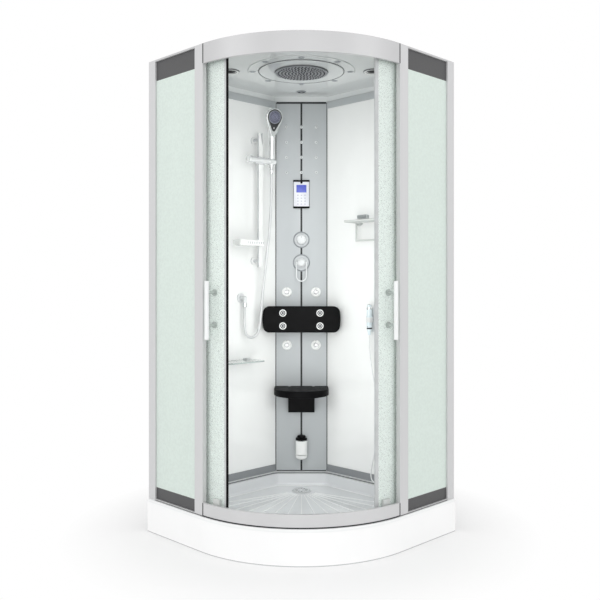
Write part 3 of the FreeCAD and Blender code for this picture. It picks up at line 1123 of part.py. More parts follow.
def soap_dish():
    """Ribbed dish that clamps on the riser rail."""
    z0, z1 = SOAP_Z - SOAP_H / 2, SOAP_Z + SOAP_H / 2
    s0 = RAIL_S + RAIL_W / 2 + SLEEVE_WALL - 2
    tray = box(s0, SOAP_S1, SOAP_N0, SOAP_N1, z0, z1)
    tray = rounded(tray, SOAP_CORNER, lambda e: upright(e) and e.BoundBox.XMin > s0 + 1)
    w = SOAP_WALL
    recess = box(s0 + w + 4, SOAP_S1 - w, SOAP_N0 + w, SOAP_N1 - w, z0 + w, z1 + 1)
    recess = rounded(recess, SOAP_CORNER - w - 1, upright)
    starts = [s0 + SOAP_RIB_START + SOAP_RIB_PITCH * i for i in range(SOAP_RIBS)]
    ribs = [box(s, s + SOAP_RIB_W, SOAP_N0 + 1, SOAP_N1 - 1, z0 + 1, z0 + w + 3) for s in starts]
    dish = join(tray.cut(recess), *ribs)
    return from_corner(join(dish, sleeve(SOAP_Z, SOAP_H)).cut(rail_hole(z0 - 1, z1 + 1)))


def glass_shelf():
    plate = box(SHELF_S0, SHELF_S1, WALL_FACE + CLEAR, WALL_FACE + SHELF_REACH, SHELF_Z, SHELF_Z + SHELF_T)
    plate = rounded(plate, SHELF_CORNER, lambda e: upright(e) and e.BoundBox.YMin > WALL_FACE + 10)
    return from_corner(plate)


def wall_fittings():
    """Hose outlets, shelf clamps and the sprayer's holder, fixed to the wall panels."""
    s, n, z = OUTLET_S, OUTLET_N, OUTLET_Z
    elbow = join(rod(OUTLET_ROSE_R, (s, WALL_FACE, z), (s, WALL_FACE + OUTLET_ROSE_T, z)),
                 rod(OUTLET_R + 1, (s, WALL_FACE, z), (s, n, z)),
                 Part.makeSphere(OUTLET_R + 1, V(s, n, z)),
                 rod(OUTLET_R, (s, n, z - OUTLET_DROP), (s, n, z)))
    clamps = []
    for s in SHELF_CLAMPS:
        jaw = box(s - CLAMP_W / 2, s + CLAMP_W / 2, WALL_FACE, WALL_FACE + CLAMP_REACH,
                  SHELF_Z + SHELF_T / 2 - CLAMP_H / 2, SHELF_Z + SHELF_T / 2 + CLAMP_H / 2)
        jaw = rounded(jaw, CLAMP_EDGE, lambda e: abs(e.BoundBox.YMin - WALL_FACE - CLAMP_REACH) < 0.01)
        clamps.append(jaw.cut(box(s - CLAMP_W, s + CLAMP_W, WALL_FACE, WALL_FACE + CLAMP_REACH + 1,
                                  SHELF_Z - CLEAR, SHELF_Z + SHELF_T + CLEAR)))
    s, n, z = THIN_OUT_S, THIN_ROUTE[-1][1], THIN_OUT_Z
    small = join(rod(THIN_ROSE_R, (s, WALL_FACE, z), (s, WALL_FACE + THIN_ROSE_T, z)),
                 rod(THIN_NECK_R, (s, WALL_FACE, z), (s, n, z)),
                 Part.makeSphere(THIN_NECK_R, V(s, n, z)),
                 rod(THIN_SPOUT_R, (s, n, THIN_ROUTE[-1][2]), (s, n, z)))
    left = from_corner(group(elbow, *clamps))
    return group(left, mirrored(from_corner(group(small, sprayer_holder()))))


def shower_hose():
    return from_corner(hose("shower_hose", HOSE_ROUTE, HOSE_R))


# ---- right wall (modelled in the left wall's frame, then mirrored) -------------------------------
def towel_rack():
    """Rod shelf on two wall mounts, with a towel rail below it."""
    z, r = RACK_Z, RACK_ROD_R
    n0, n1 = WALL_FACE + 34, WALL_FACE + RACK_REACH
    pieces = []
    for s in (RACK_S0, RACK_S1):
        pieces.append(rod(RACK_MOUNT_R, (s, WALL_FACE, z), (s, WALL_FACE + RACK_MOUNT_T, z)))
        pieces.append(rod(r + 1, (s, WALL_FACE, z), (s, n1, z)))
        pieces.append(Part.makeSphere(r + 1, V(s, n1, z)))
        pieces.append(rod(r, (s, n0, z - RACK_DROP), (s, n0, z)))
        pieces.append(Part.makeSphere(r, V(s, n0, z - RACK_DROP)))
    for i in range(RACK_RODS):
        n = n0 + (n1 - n0) * i / (RACK_RODS - 1)
        pieces.append(rod(r, (RACK_S0, n, z), (RACK_S1, n, z)))
    pieces.append(rod(r, (RACK_S0, n0, z - RACK_DROP), (RACK_S1, n0, z - RACK_DROP)))
    return mirrored(from_corner(join(*pieces)))


def sprayer_holder():
    """Wall plate and ring that the sprayer stands in."""
    s, n, z, h = SPRAYER_S, THIN_ROUTE[0][1], SPRAYER_Z, HOLDER_RING_H
    w, tall, t = HOLDER_PLATE_W / 2, HOLDER_PLATE_H / 2, HOLDER_PLATE_T
    plate = box(s - w, s + w, WALL_FACE, WALL_FACE + t, z - tall, z + tall)
    plate = rounded(plate, t + 1, lambda e: e.BoundBox.YLength > t - 1 and e.BoundBox.ZLength < 0.1)
    arm = box(s - HOLDER_ARM_W / 2, s + HOLDER_ARM_W / 2, WALL_FACE + 1, n, z - h / 2, z + h / 2)
    ring = rod(SPRAYER_R + CLEAR + HOLDER_RING_T, (s, n, z - h / 2), (s, n, z + h / 2))
    bore = rod(SPRAYER_R + CLEAR, (s, n, z - h), (s, n, z + h))
    return join(plate, arm, ring).cut(bore)


def side_sprayer():
    """Slim sprayer whose collar rests on its holder's ring."""
    s, n = SPRAYER_S, THIN_ROUTE[0][1]
    low, collar, r = THIN_ROUTE[0][2], SPRAYER_Z + HOLDER_RING_H / 2 + CLEAR, SPRAYER_R
    high = low + SPRAYER_L
    body = turned([(0, low), (6, low), (8, low + 14), (r, low + 30), (r, collar), (r + 2.5, collar),
                   (r + 2.5, collar + 4), (r, collar + 6), (r, high - 26), (r - 3, high), (0, high)],
                  (s, n, 0))
    return mirrored(from_corner(body))


def sprayer_hose():
    return mirrored(from_corner(hose("sprayer_hose", THIN_ROUTE, THIN_R)))


# ---- behind the column --------------------------------------------------------------------------
def steam_generator():
    rear = COLUMN_D - COLUMN_T - 1 - SPINE_DEPTH
    w = GENERATOR_W / 2
    z0, z1 = GENERATOR_Z0, GENERATOR_Z1
    case = rounded(front_box(-w, w, GENERATOR_D0, rear, z0, z1), 6, upright)
    pipe = front_rod(STEAM_PIPE_R, 0, STEAM_NECK_Z, rear - 1, STEAM_D - 11)
    inlet = rod(INLET_THREAD_R, at_depth(0, GENERATOR_D0 + 1, GENERATOR_INLET_Z),
                at_depth(0, GENERATOR_D0 - GENERATOR_INLET_L, GENERATOR_INLET_Z))
    return join(case, pipe, inlet)


def supply_hoses():
    """Hot and cold hoses with their nuts, and the riser to the overhead shower."""
    d = (VALVE_D0 + COLUMN_D - COLUMN_T - SPINE_DEPTH - 2) / 2
    low = MIXER_Z - VALVE_MARGIN
    solids = []
    for x in (-SUPPLY_X, SUPPLY_X):
        tube = rod(SUPPLY_R, at_depth(x, d, SUPPLY_Z), at_depth(x, d, low))
        elbow = Part.makeSphere(SUPPLY_R + 1, V(*at_depth(x, d, SUPPLY_Z)))
        neck = rod(SUPPLY_R, at_depth(x, d, SUPPLY_Z), at_depth(x, NUT_D + NUT_H, SUPPLY_Z))
        nut = rod(NUT_R, at_depth(x, NUT_D, SUPPLY_Z), at_depth(x, NUT_D + NUT_H, SUPPLY_Z))
        bore = rod(NUT_BORE, at_depth(x, NUT_D - 1, SUPPLY_Z), at_depth(x, NUT_D + NUT_THREAD, SUPPLY_Z))
        solids.append(join(tube, elbow, neck, nut).cut(bore))
    riser_d, over = VALVE_D0 + 12, CEILING_Z + ROOF_T + SUPPLY_R + 1
    inlet_z = CEILING_Z + ROOF_T
    z0 = DIVERTER_Z
    corners = [at_depth(VALVE_W / 2, riser_d, z0), at_depth(RISER_X, riser_d, z0),
               at_depth(RISER_X, riser_d, over), at_depth(RISER_X, HEAD_D, over), at_depth(0, HEAD_D, over)]
    pieces = [rod(SUPPLY_R, a, b) for a, b in zip(corners, corners[1:])]
    pieces += [Part.makeSphere(SUPPLY_R, V(*c)) for c in corners[1:-1]]
    pieces.append(rod(INLET_R + 2, at_depth(0, HEAD_D, inlet_z), at_depth(0, HEAD_D, over + SUPPLY_R + 2)))
    return group(*solids, join(*pieces))


# ---- the nodes ----------------------------------------------------------------------------------
def nodes():
    left_glass, left_seal = door_glass(), door_seal()
    left_handle, left_fittings = door_handle(), door_fittings()
    found = {
        "shower_tray": shower_tray(), "tray_apron": tray_apron(), "tray_frame": tray_frame(),
        "levelling_feet": levelling_feet(), "drain_trap": drain_trap(), "drain_cover": drain_cover(),
        "bottom_rail": bottom_rail(), "top_rail": top_rail(), "wall_profiles": wall_profiles(),
        "door_posts": door_posts(), "side_glass": side_glass(),
        "door_glass_left": left_glass, "door_glass_right": mirrored(left_glass),
        "door_seal_left": left_seal, "door_seal_right": mirrored(left_seal),
        "door_handle_left": left_handle, "door_handle_right": mirrored(left_handle),
        "door_fittings_left": left_fittings, "door_fittings_right": mirrored(left_fittings),
        "wall_panels": wall_panels(), "column_panels": column_panels(), "column_spine": column_spine(),
        "roof_panel": roof_panel(), "rain_head": rain_head(), "light_ring": light_ring(),
        "speakers": speakers(), "vent_housing": vent_housing(), "fan_impeller": fan_impeller(),
        "control_panel": control_panel(), "spray_jets": spray_jets(), "valve_body": valve_body(),
        "diverter_knob": diverter_knob(), "mixer_cap": mixer_cap(), "mixer_lever": mixer_lever(),
        "backrest_pad": backrest_pad(), "seat_bracket": seat_bracket(), "seat": seat(),
        "steam_outlet": steam_outlet(), "aroma_cap": aroma_cap(), "riser_rail": riser_rail(),
        "rail_slider": rail_slider(), "handset_holder": handset_holder(), "handset": handset(),
        "shower_hose": shower_hose(), "soap_dish": soap_dish(), "glass_shelf": glass_shelf(),
        "wall_fittings": wall_fittings(), "towel_rack": towel_rack(), "side_sprayer": side_sprayer(),
        "sprayer_hose": sprayer_hose(), "steam_generator": steam_generator(),
        "supply_hoses": supply_hoses(),
    }
    for end, angle in FIT_ANGLES.items():
        wheel = door_wheel(angle)
        found["wheel_left_" + end] = wheel
        found["wheel_right_" + end] = mirrored(wheel)
    for side, x in (("left", -JET_X), ("right", JET_X)):
        for level, z in zip(("upper", "lower"), JET_Z):
            found["nozzle_" + side + "_" + level] = jet_nozzle(x, z)
    return found


def main():
    os.makedirs("parts", exist_ok=True)
    for name, shape in nodes().items():
        if not shape.isValid():
            print("invalid", name)
        shape.exportStep("parts/" + name + ".step")
    print("wheel ratio", WHEEL_MID_R / WHEEL_R)


main()
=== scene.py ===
import math

import bmesh
import bpy
from mathutils import Matrix, Vector

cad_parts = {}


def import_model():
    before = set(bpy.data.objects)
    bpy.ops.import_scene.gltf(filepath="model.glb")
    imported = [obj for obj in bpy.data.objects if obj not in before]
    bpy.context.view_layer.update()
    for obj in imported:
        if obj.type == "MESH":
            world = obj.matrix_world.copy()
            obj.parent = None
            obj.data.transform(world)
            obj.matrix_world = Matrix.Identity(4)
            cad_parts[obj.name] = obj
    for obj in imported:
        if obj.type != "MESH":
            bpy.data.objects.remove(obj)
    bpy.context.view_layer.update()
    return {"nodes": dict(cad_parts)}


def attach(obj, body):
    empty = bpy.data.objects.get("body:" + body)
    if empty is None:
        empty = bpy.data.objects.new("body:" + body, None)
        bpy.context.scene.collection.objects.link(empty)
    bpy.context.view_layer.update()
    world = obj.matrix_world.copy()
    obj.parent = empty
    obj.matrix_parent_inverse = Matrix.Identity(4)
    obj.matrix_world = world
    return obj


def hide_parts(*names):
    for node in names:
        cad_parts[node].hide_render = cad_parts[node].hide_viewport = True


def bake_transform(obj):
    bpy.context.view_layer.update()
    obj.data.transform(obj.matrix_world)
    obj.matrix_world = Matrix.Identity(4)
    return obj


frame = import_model()
CAD = frame["nodes"]

# Quarter-round steam shower cabin. Lengths are millimetres until they reach a mesh, which is in metres.
MM = 0.001
ROOT2 = math.sqrt(2)
BACK_Y = 582.843  # world y of the room corner
ARC_Y = 17.157  # world y of the centre of the curved front
COLUMN_D = 178.0  # depth of the column's front from the room corner
WALL_FACE = 29.0  # inner face of the wall panels
CEILING_Z = 2110.0
HEAD_D = 699.0  # depth of the overhead shower


# ---- places ----
def left_wall(s, n, z):
    """Point s along the left wall from the room corner and n out of the wall."""
    return Vector(((n - s) / ROOT2, BACK_Y - (s + n) / ROOT2, z))


def right_wall(s, n, z):
    """The same on the right wall."""
    p = left_wall(s, n, z)
    return Vector((-p.x, p.y, p.z))


def on_column(x, d, z):
    """Point x to the right of the middle and d in front of the room corner."""
    return Vector((x, BACK_Y - d, z))


def on_arc(r, angle, z):
    """Point at radius r about the centre of the curved front, angle in degrees to the right."""
    a = math.radians(angle)
    return Vector((r * math.sin(a), ARC_Y - r * math.cos(a), z))


LEFT_OUT = RIGHT_ALONG = Vector((1, -1, 0)).normalized()
RIGHT_OUT = LEFT_ALONG = Vector((-1, -1, 0)).normalized()
FRONT = Vector((0, -1, 0))
BACK = Vector((0, 1, 0))
UP = Vector((0, 0, 1))
DOWN = Vector((0, 0, -1))
SIDES = (("left", -1), ("right", 1))


def axes(origin, out, up=UP):
    """Matrix whose local z is out, local y is near up, and local x is to the right seen from out."""
    out = out.normalized()
    side = up.cross(out)
    if side.length < 1e-6:
        side = Vector((1, 0, 0))
    side.normalize()
    top = out.cross(side)
    turn = Matrix((side, top, out)).transposed().to_4x4()
    return Matrix.Translation(origin) @ turn


def new_object(name, data):
    obj = bpy.data.objects.new(name, data)
    bpy.context.scene.collection.objects.link(obj)
    return obj


def around(place, count):
    """The place turned about its own z axis in count even steps."""
    return [place @ Matrix.Rotation(math.tau * i / count, 4, "Z") for i in range(count)]


# ---- materials ----
MATERIALS = {}
MIX_A, MIX_B, MIXED = 6, 7, 2  # sockets of a Mix node in its colour mode


def linear(screen):
    """Linear colour of screen values 0 to 255."""
    def one(c):
        c /= 255
        return c / 12.92 if c <= 0.04045 else ((c + 0.055) / 1.055) ** 2.4
    return tuple(one(c) for c in screen)


def maths(tree, operation, *values):
    """Output of a Math node; each value is a number or the output of another node."""
    made = tree.nodes.new("ShaderNodeMath")
    made.operation = operation
    for socket, value in zip(made.inputs, values):
        if isinstance(value, float):
            socket.default_value = value
        else:
            tree.links.new(value, socket)
    return made.outputs[0]


class Material:
    """A Principled material on object coordinates: cloudy tint, patchy roughness and a fine bump."""

    def __init__(self, name, colour, roughness, metallic=0.0, tint=0.03, tint_scale=4.0,
                 stretch=(1, 1, 1), patch=0.05, patch_scale=9.0, **fixed):
        MATERIALS[name] = self
        self.made = bpy.data.materials.new(name)
        self.made.use_nodes = True
        self.tree = self.made.node_tree
        self.shader = self.tree.nodes["Principled BSDF"]
        self.shader.inputs["Metallic"].default_value = metallic
        for socket, value in fixed.items():
            self.shader.inputs[socket.replace("_", " ")].default_value = value
        coordinates = self.node("TexCoord")
        self.place = self.node("Mapping", Scale=stretch)
        self.link(coordinates.outputs["Object"], self.place, "Vector")
        self.height = None
        self.paint(linear(colour), tint, tint_scale)
        self.polish(roughness, patch, patch_scale)

    def node(self, kind, **inputs):
        made = self.tree.nodes.new("ShaderNode" + kind)
        for socket, value in inputs.items():
            made.inputs[socket].default_value = value
        return made

    def link(self, output, to, socket):
        self.tree.links.new(output, to.inputs[socket])

    def noise(self, scale, detail):
        made = self.node("TexNoise", Scale=scale, Detail=detail)
        self.link(self.place.outputs["Vector"], made, "Vector")
        return made.outputs["Fac"]

    def ramp(self, value, low, high):
        """Colours between two stops, each a position and three channels."""
        made = self.node("ValToRGB")
        for element, (position, colour) in zip(made.color_ramp.elements, (low, high)):
            element.position = position
            element.color = (*colour, 1)
        self.link(value, made, "Fac")
        return made.outputs["Color"]

    def paint(self, colour, tint, scale):
        dark = [c * (1 - tint) for c in colour]
        light = [min(1.0, c * (1 + tint)) for c in colour]
        self.colour = self.ramp(self.noise(scale, 3), (0.35, dark), (0.65, light))
        self.link(self.colour, self.shader, "Base Color")

    def polish(self, roughness, patch, scale):
        low = max(0.02, roughness - patch)
        high = min(1.0, roughness + patch)
        rough = self.ramp(self.noise(scale, 2), (0.3, [low] * 3), (0.7, [high] * 3))
        self.link(rough, self.shader, "Roughness")

    def bump(self, value, distance, strength):
        made = self.node("Bump", Strength=strength, Distance=distance)
        self.link(value, made, "Height")
        if self.height is not None:
            self.link(self.height, made, "Normal")
        self.height = made.outputs["Normal"]
        self.link(self.height, self.shader, "Normal")
        return self

    def grain(self, scale, distance, strength=0.5, detail=3.0):
        return self.bump(self.noise(scale, detail), distance, strength)

    def pitted(self, scale, distance, strength, smooth=None):
        """Bump of small cells, their edges soft where smooth is given."""
        cells = self.node("TexVoronoi", Scale=scale)
        if smooth is not None:
            cells.feature = "SMOOTH_F1"
            cells.inputs["Smoothness"].default_value = smooth
        self.link(self.place.outputs["Vector"], cells, "Vector")
        return self.bump(cells.outputs["Distance"], distance, strength)

    def banded(self, colour, *bands):
        """Another colour between pairs of heights in metres."""
        coordinates = self.node("TexCoord")
        split = self.node("SeparateXYZ")
        self.link(coordinates.outputs["Object"], split, "Vector")
        inside = 0.0
        for low, high in bands:
            over = maths(self.tree, "GREATER_THAN", split.outputs["Z"], low)
            under = maths(self.tree, "LESS_THAN", split.outputs["Z"], high)
            both = maths(self.tree, "MULTIPLY", over, under)
            inside = maths(self.tree, "ADD", inside, both)
        mix = self.node("Mix")
        mix.data_type = "RGBA"
        self.link(inside, mix, "Factor")
        self.link(self.colour, mix, MIX_A)
        mix.inputs[MIX_B].default_value = (*linear(colour), 1)
        self.link(mix.outputs[MIXED], self.shader, "Base Color")
        return self


def glossy_white(name, colour, roughness, wave=0.12):
    made = Material(name, colour, roughness, tint=0.012, patch=0.02, Coat_Weight=0.25)
    return made.grain(14.0, 0.0006, wave, 1.0).grain(420.0, 0.00006, 0.12)


def aluminium(name, colour, roughness=0.42):
    """Drawn metal, its marks stretched along the height."""
    made = Material(name, colour, roughness, 0.22, tint=0.02, tint_scale=5.0, stretch=(1, 1, 0.04),
                    patch=0.04)
    return made.grain(900.0, 0.00005, 0.35)


def chrome(name, colour, roughness, metallic):
    made = Material(name, colour, roughness, metallic, tint=0.015, tint_scale=25.0, patch=0.03,
                    patch_scale=60.0)
    return made.grain(700.0, 0.00003, 0.15)


def black_plastic(name, colour, roughness, specular, scale=1500.0, depth=0.00012):
    made = Material(name, colour, roughness, tint=0.12, tint_scale=20.0, patch=0.06, patch_scale=30.0,
                    Specular_IOR_Level=specular)
    return made.pitted(scale, depth, 0.5).grain(scale * 0.4, depth, 0.3)


def satin(name, colour, roughness, metallic, tint, tint_scale, specular):
    """Plastic or thinly plated metal with little gloss."""
    return Material(name, colour, roughness, metallic, tint, tint_scale, Specular_IOR_Level=specular)


glossy_white("tray_white", (243, 244, 244), 0.13)
glossy_white("panel_white", (246, 247, 246), 0.09, 0.03)
# Painted shade: a darker copy of the tray's white for the inside of the basin.
glossy_white("basin_painted_shade", (222, 224, 226), 0.14)
glossy_white("roof_white", (214, 217, 217), 0.06, 0.02)
glossy_white("plastic_white", (240, 241, 240), 0.2)
# The apron's lowest few millimetres are banded grey: a painted contact shadow at the floor.
glossy_white("apron_white", (250, 250, 250), 0.13).banded((190, 191, 192), (-0.001, 0.0035))

aluminium("aluminium", (207, 207, 208))
# Painted shade: a slightly darker copy of the aluminium for the posts' faces towards the entrance.
aluminium("post_painted_shade", (205, 206, 206))
aluminium("trim_grey", (146, 149, 152), 0.4)
aluminium("trim_pale", (192, 196, 198), 0.35)
aluminium("rail_grey", (196, 196, 197))
chrome("chrome", (226, 228, 230), 0.10, 0.85)
chrome("plastic_chromed", (236, 237, 238), 0.16, 0.6)
Material("galvanised", (168, 172, 176), 0.4, 0.8, tint=0.10, tint_scale=60.0, patch=0.12,
         patch_scale=90.0).pitted(120.0, 0.0001, 0.4)
Material("column_grey", (180, 184, 186), 0.5, 0.2, tint=0.02, tint_scale=1.6,
         stretch=(1, 1, 0.25)).grain(1200.0, 0.00004, 0.3)

black_plastic("rubber_black", (17, 17, 18), 0.5, 0.05, 900.0)
black_plastic("plastic_dark", (48, 49, 51), 0.45, 0.3)
black_plastic("plastic_black", (14, 14, 15), 0.3, 0.06, 2500.0, 0.00005)
black_plastic("pad_black", (16, 16, 17), 0.4, 0.05, 1100.0, 0.00018)
black_plastic("seat_black", (17, 17, 18), 0.45, 0.03, 700.0, 0.00025)

satin("seal_grey", (199, 201, 202), 0.6, 0.0, 0.05, 30.0, 0.1).grain(300.0, 0.0001)
satin("rosette_grey", (196, 199, 201), 0.4, 0.1, 0.03, 25.0, 0.25).grain(600.0, 0.00005, 0.3)
satin("cap_pale", (220, 222, 223), 0.4, 0.1, 0.02, 25.0, 0.2).grain(600.0, 0.00004, 0.2)
satin("fixing_grey", (186, 194, 190), 0.35, 0.25, 0.05, 60.0, 0.3).grain(600.0, 0.00005, 0.3)

Material("seal_pale", (205, 208, 206), 0.4).grain(300.0, 0.0001)
Material("nylon", (232, 231, 225), 0.5).grain(400.0, 0.0001)
Material("plastic_grey", (204, 206, 208), 0.3, tint=0.02).grain(500.0, 0.00008)
Material("handle_white", (238, 240, 240), 0.35, tint=0.01).grain(500.0, 0.00004, 0.2)
# Painted shade: dark grey for shade lines in grooves and steps (tray ledge, ceiling ring, speakers).
Material("painted_shade_grey", (104, 106, 108), 0.4, tint=0.05).grain(600.0, 0.00006)
Material("ring_grey", (150, 154, 158), 0.35, tint=0.05).grain(600.0, 0.00006)
Material("panel_face", (232, 233, 240), 0.22, tint=0.01).grain(800.0, 0.00003)
Material("key_print", (184, 185, 200), 0.4, tint=0.05).grain(900.0, 0.00004, 0.3)
Material("silicone", (44, 46, 50), 0.5, tint=0.08, tint_scale=80.0).grain(900.0, 0.00006)
Material("sprayer_pale", (222, 233, 238), 0.2, tint=0.02, tint_scale=30.0).grain(600.0, 0.00004, 0.2)
Material("glass_edge", (158, 168, 166), 0.15, tint=0.06, tint_scale=20.0).grain(200.0, 0.0001, 0.3)
Material("hose_steel", (216, 217, 218), 0.42, 0.2, 0.03, 40.0).grain(900.0, 0.00004, 0.3)
Material("hose_grey", (232, 233, 234), 0.45, 0.1, 0.04, 50.0).grain(900.0, 0.00004, 0.3)
Material("head_grey", (140, 141, 144), 0.4, 0.2, 0.06, 60.0).grain(700.0, 0.00008)
Material("face_lilac", (138, 139, 160), 0.3, 0.2, 0.05, 30.0).grain(500.0, 0.00005, 0.3)
Material("lens", (172, 176, 178), 0.12, 0.2, 0.05, 80.0).pitted(900.0, 0.0003, 0.6)
Material("screen_blue", (78, 90, 186), 0.3, tint=0.05, tint_scale=90.0,
         Emission_Color=(*linear((80, 94, 196)), 1), Emission_Strength=0.18).grain(1500.0, 0.00003, 0.3)

FROSTED_BANDS = (0.100, 0.2085), (2.0555, 2.2)  # dark prints on the side panes
Material("glass_frosted", (229, 241, 234), 0.42, tint=0.03, tint_scale=90.0, patch=0.1, patch_scale=200.0,
         Transmission_Weight=0.16, IOR=1.45).pitted(330.0, 0.0004, 0.35, 0.6).grain(
             900.0, 0.0002, 0.3).banded((84, 84, 85), *FROSTED_BANDS)
Material("glass_pebbled", (243, 252, 247), 0.3, tint=0.03, tint_scale=110.0, patch=0.08, patch_scale=300.0,
         Transmission_Weight=0.34, IOR=1.45, Specular_IOR_Level=0.25).pitted(
             210.0, 0.0006, 0.45, 0.7).grain(500.0, 0.0003, 0.3)
Material("glass_clear", (236, 240, 239), 0.03, tint=0.01, patch=0.02, Transmission_Weight=0.92,
         IOR=1.5).grain(5.0, 0.0003, 0.1)


# ---- solids that keep their shape and get a finish ----
FINISHES = {
    "tray_white": "shower_tray",
    "apron_white": "tray_apron",
    "panel_white": "wall_panels",
    "roof_white": "roof_panel light_ring",
    "plastic_white": "speakers spray_jets steam_outlet riser_rail soap_dish",
    "handle_white": "door_handle_left door_handle_right",
    "galvanised": "tray_frame levelling_feet steam_generator",
    "aluminium": "bottom_rail wall_profiles door_posts",
    "rail_grey": "top_rail",
    "column_grey": "column_panels",
    "plastic_grey": "drain_trap drain_cover",
    "head_grey": "rain_head",
    "rosette_grey": "valve_body",
    "cap_pale": "diverter_knob mixer_cap mixer_lever wall_fittings",
    "chrome": "door_fittings_left door_fittings_right",
    "plastic_chromed": "nozzle_left_upper nozzle_left_lower nozzle_right_upper nozzle_right_lower "
                       "rail_slider handset_holder handset",
    "glass_frosted": "side_glass",
    "glass_pebbled": "door_glass_left door_glass_right",
    "glass_clear": "glass_shelf",
    "rubber_black": "door_seal_left",
    "seal_grey": "door_seal_right",
    "seal_pale": "towel_rack",
    "nylon": "wheel_left_front wheel_left_rear wheel_right_front wheel_right_rear",
    "plastic_dark": "column_spine vent_housing fan_impeller",
    "plastic_black": "control_panel aroma_cap",
    "pad_black": "backrest_pad seat_bracket",
    "seat_black": "seat",
    "sprayer_pale": "side_sprayer",
    "hose_steel": "shower_hose supply_hoses",
    "hose_grey": "sprayer_hose",
}
for finish, nodes in FINISHES.items():
    for node in nodes.split():
        CAD[node].data.materials.clear()
        CAD[node].data.materials.append(MATERIALS[finish].made)

TRIM_REACH = 959.9  # along the room walls, where the trims end and the wall profiles begin
TOP_TRIM_Z = 2000.0  # trims above this run under the ceiling and get a paler copy, painted light
SHOE_TOP_Z = 229.0  # top of the doors' guide shoes
BASIN_R, BASIN_TOP_Z = 545.0, 149.5
LEDGE_SIDE_Z = (145.5, 149.0)
LEDGE_TOP_Z = (144.0, 146.0)
RIB_Z = (86.4, 88.0)
HANDLE_BAR_R = 590.0  # a handle's fixings are inside this radius, its bar outside


def refinish(node, finish, chosen):
    """Gives the faces that chosen picks, by their centre and normal, one more finish."""
    mesh = CAD[node].data
    mesh.materials.append(MATERIALS[finish].made)
    for face in mesh.polygons:
        if chosen(face.center / MM, face.normal):
            face.material_index = len(mesh.materials) - 1


def front_radius(p):
    return math.hypot(p.x, p.y - ARC_Y)


def within(value, limits):
    return limits[0] < value < limits[1]


def in_trim(p, n):
    """By the larger of the distances along the two room walls."""
    return ((BACK_Y - p.y) + abs(p.x)) / ROOT2 < TRIM_REACH


def in_top_trim(p, n):
    return in_trim(p, n) and p.z > TOP_TRIM_Z


def in_shoe(p, n):
    return p.z < SHOE_TOP_Z


def in_basin(p, n):
    return p.z < BASIN_TOP_Z and front_radius(p) < BASIN_R


def on_ledge_side(p, n):
    return in_basin(p, n) and abs(n.z) < 0.3 and within(p.z, LEDGE_SIDE_Z)


def lit_rib_or_ledge(p, n):
    return within(p.z, RIB_Z) or (n.z > 0.9 and within(p.z, LEDGE_TOP_Z))


def faces_entrance(p, n):
    """Upright faces of the two door posts that look towards each other."""
    return abs(n.z) < 0.5 and n.y < 0.1 and abs(n.x) > 0.6 and n.x * p.x < 0


def rail_side_in_shade(p, n):
    return abs(n.dot(LEFT_ALONG)) > 0.6


def in_fixing(p, n):
    return front_radius(p) < HANDLE_BAR_R


def on_edge(p, n):
    return abs(n.z) < 0.5


# The wall trims are grey; those under the ceiling get a paler copy of that grey, painted light.
refinish("wall_profiles", "trim_grey", in_trim)
refinish("wall_profiles", "trim_pale", in_top_trim)
# Painted shade: the basin's faces get the darker copy of the tray's white.
refinish("shower_tray", "basin_painted_shade", in_basin)
# Painted shade on the upright faces of the basin's ledge.
refinish("shower_tray", "painted_shade_grey", on_ledge_side)
# Painted highlight: rib tops and ledge tops keep the tray's brighter white against the shaded basin.
refinish("shower_tray", "tray_white", lit_rib_or_ledge)
# Painted shade on the posts' faces towards the entrance.
refinish("door_posts", "post_painted_shade", faces_entrance)
# Painted shade: the white riser rail's side faces are grey where they fall in shade.
refinish("riser_rail", "plastic_grey", rail_side_in_shade)
refinish("glass_shelf", "glass_edge", on_edge)
for side, sign in SIDES:
    refinish("door_fittings_" + side, "seal_pale", in_shoe)
    refinish("door_handle_" + side, "fixing_grey", in_fixing)


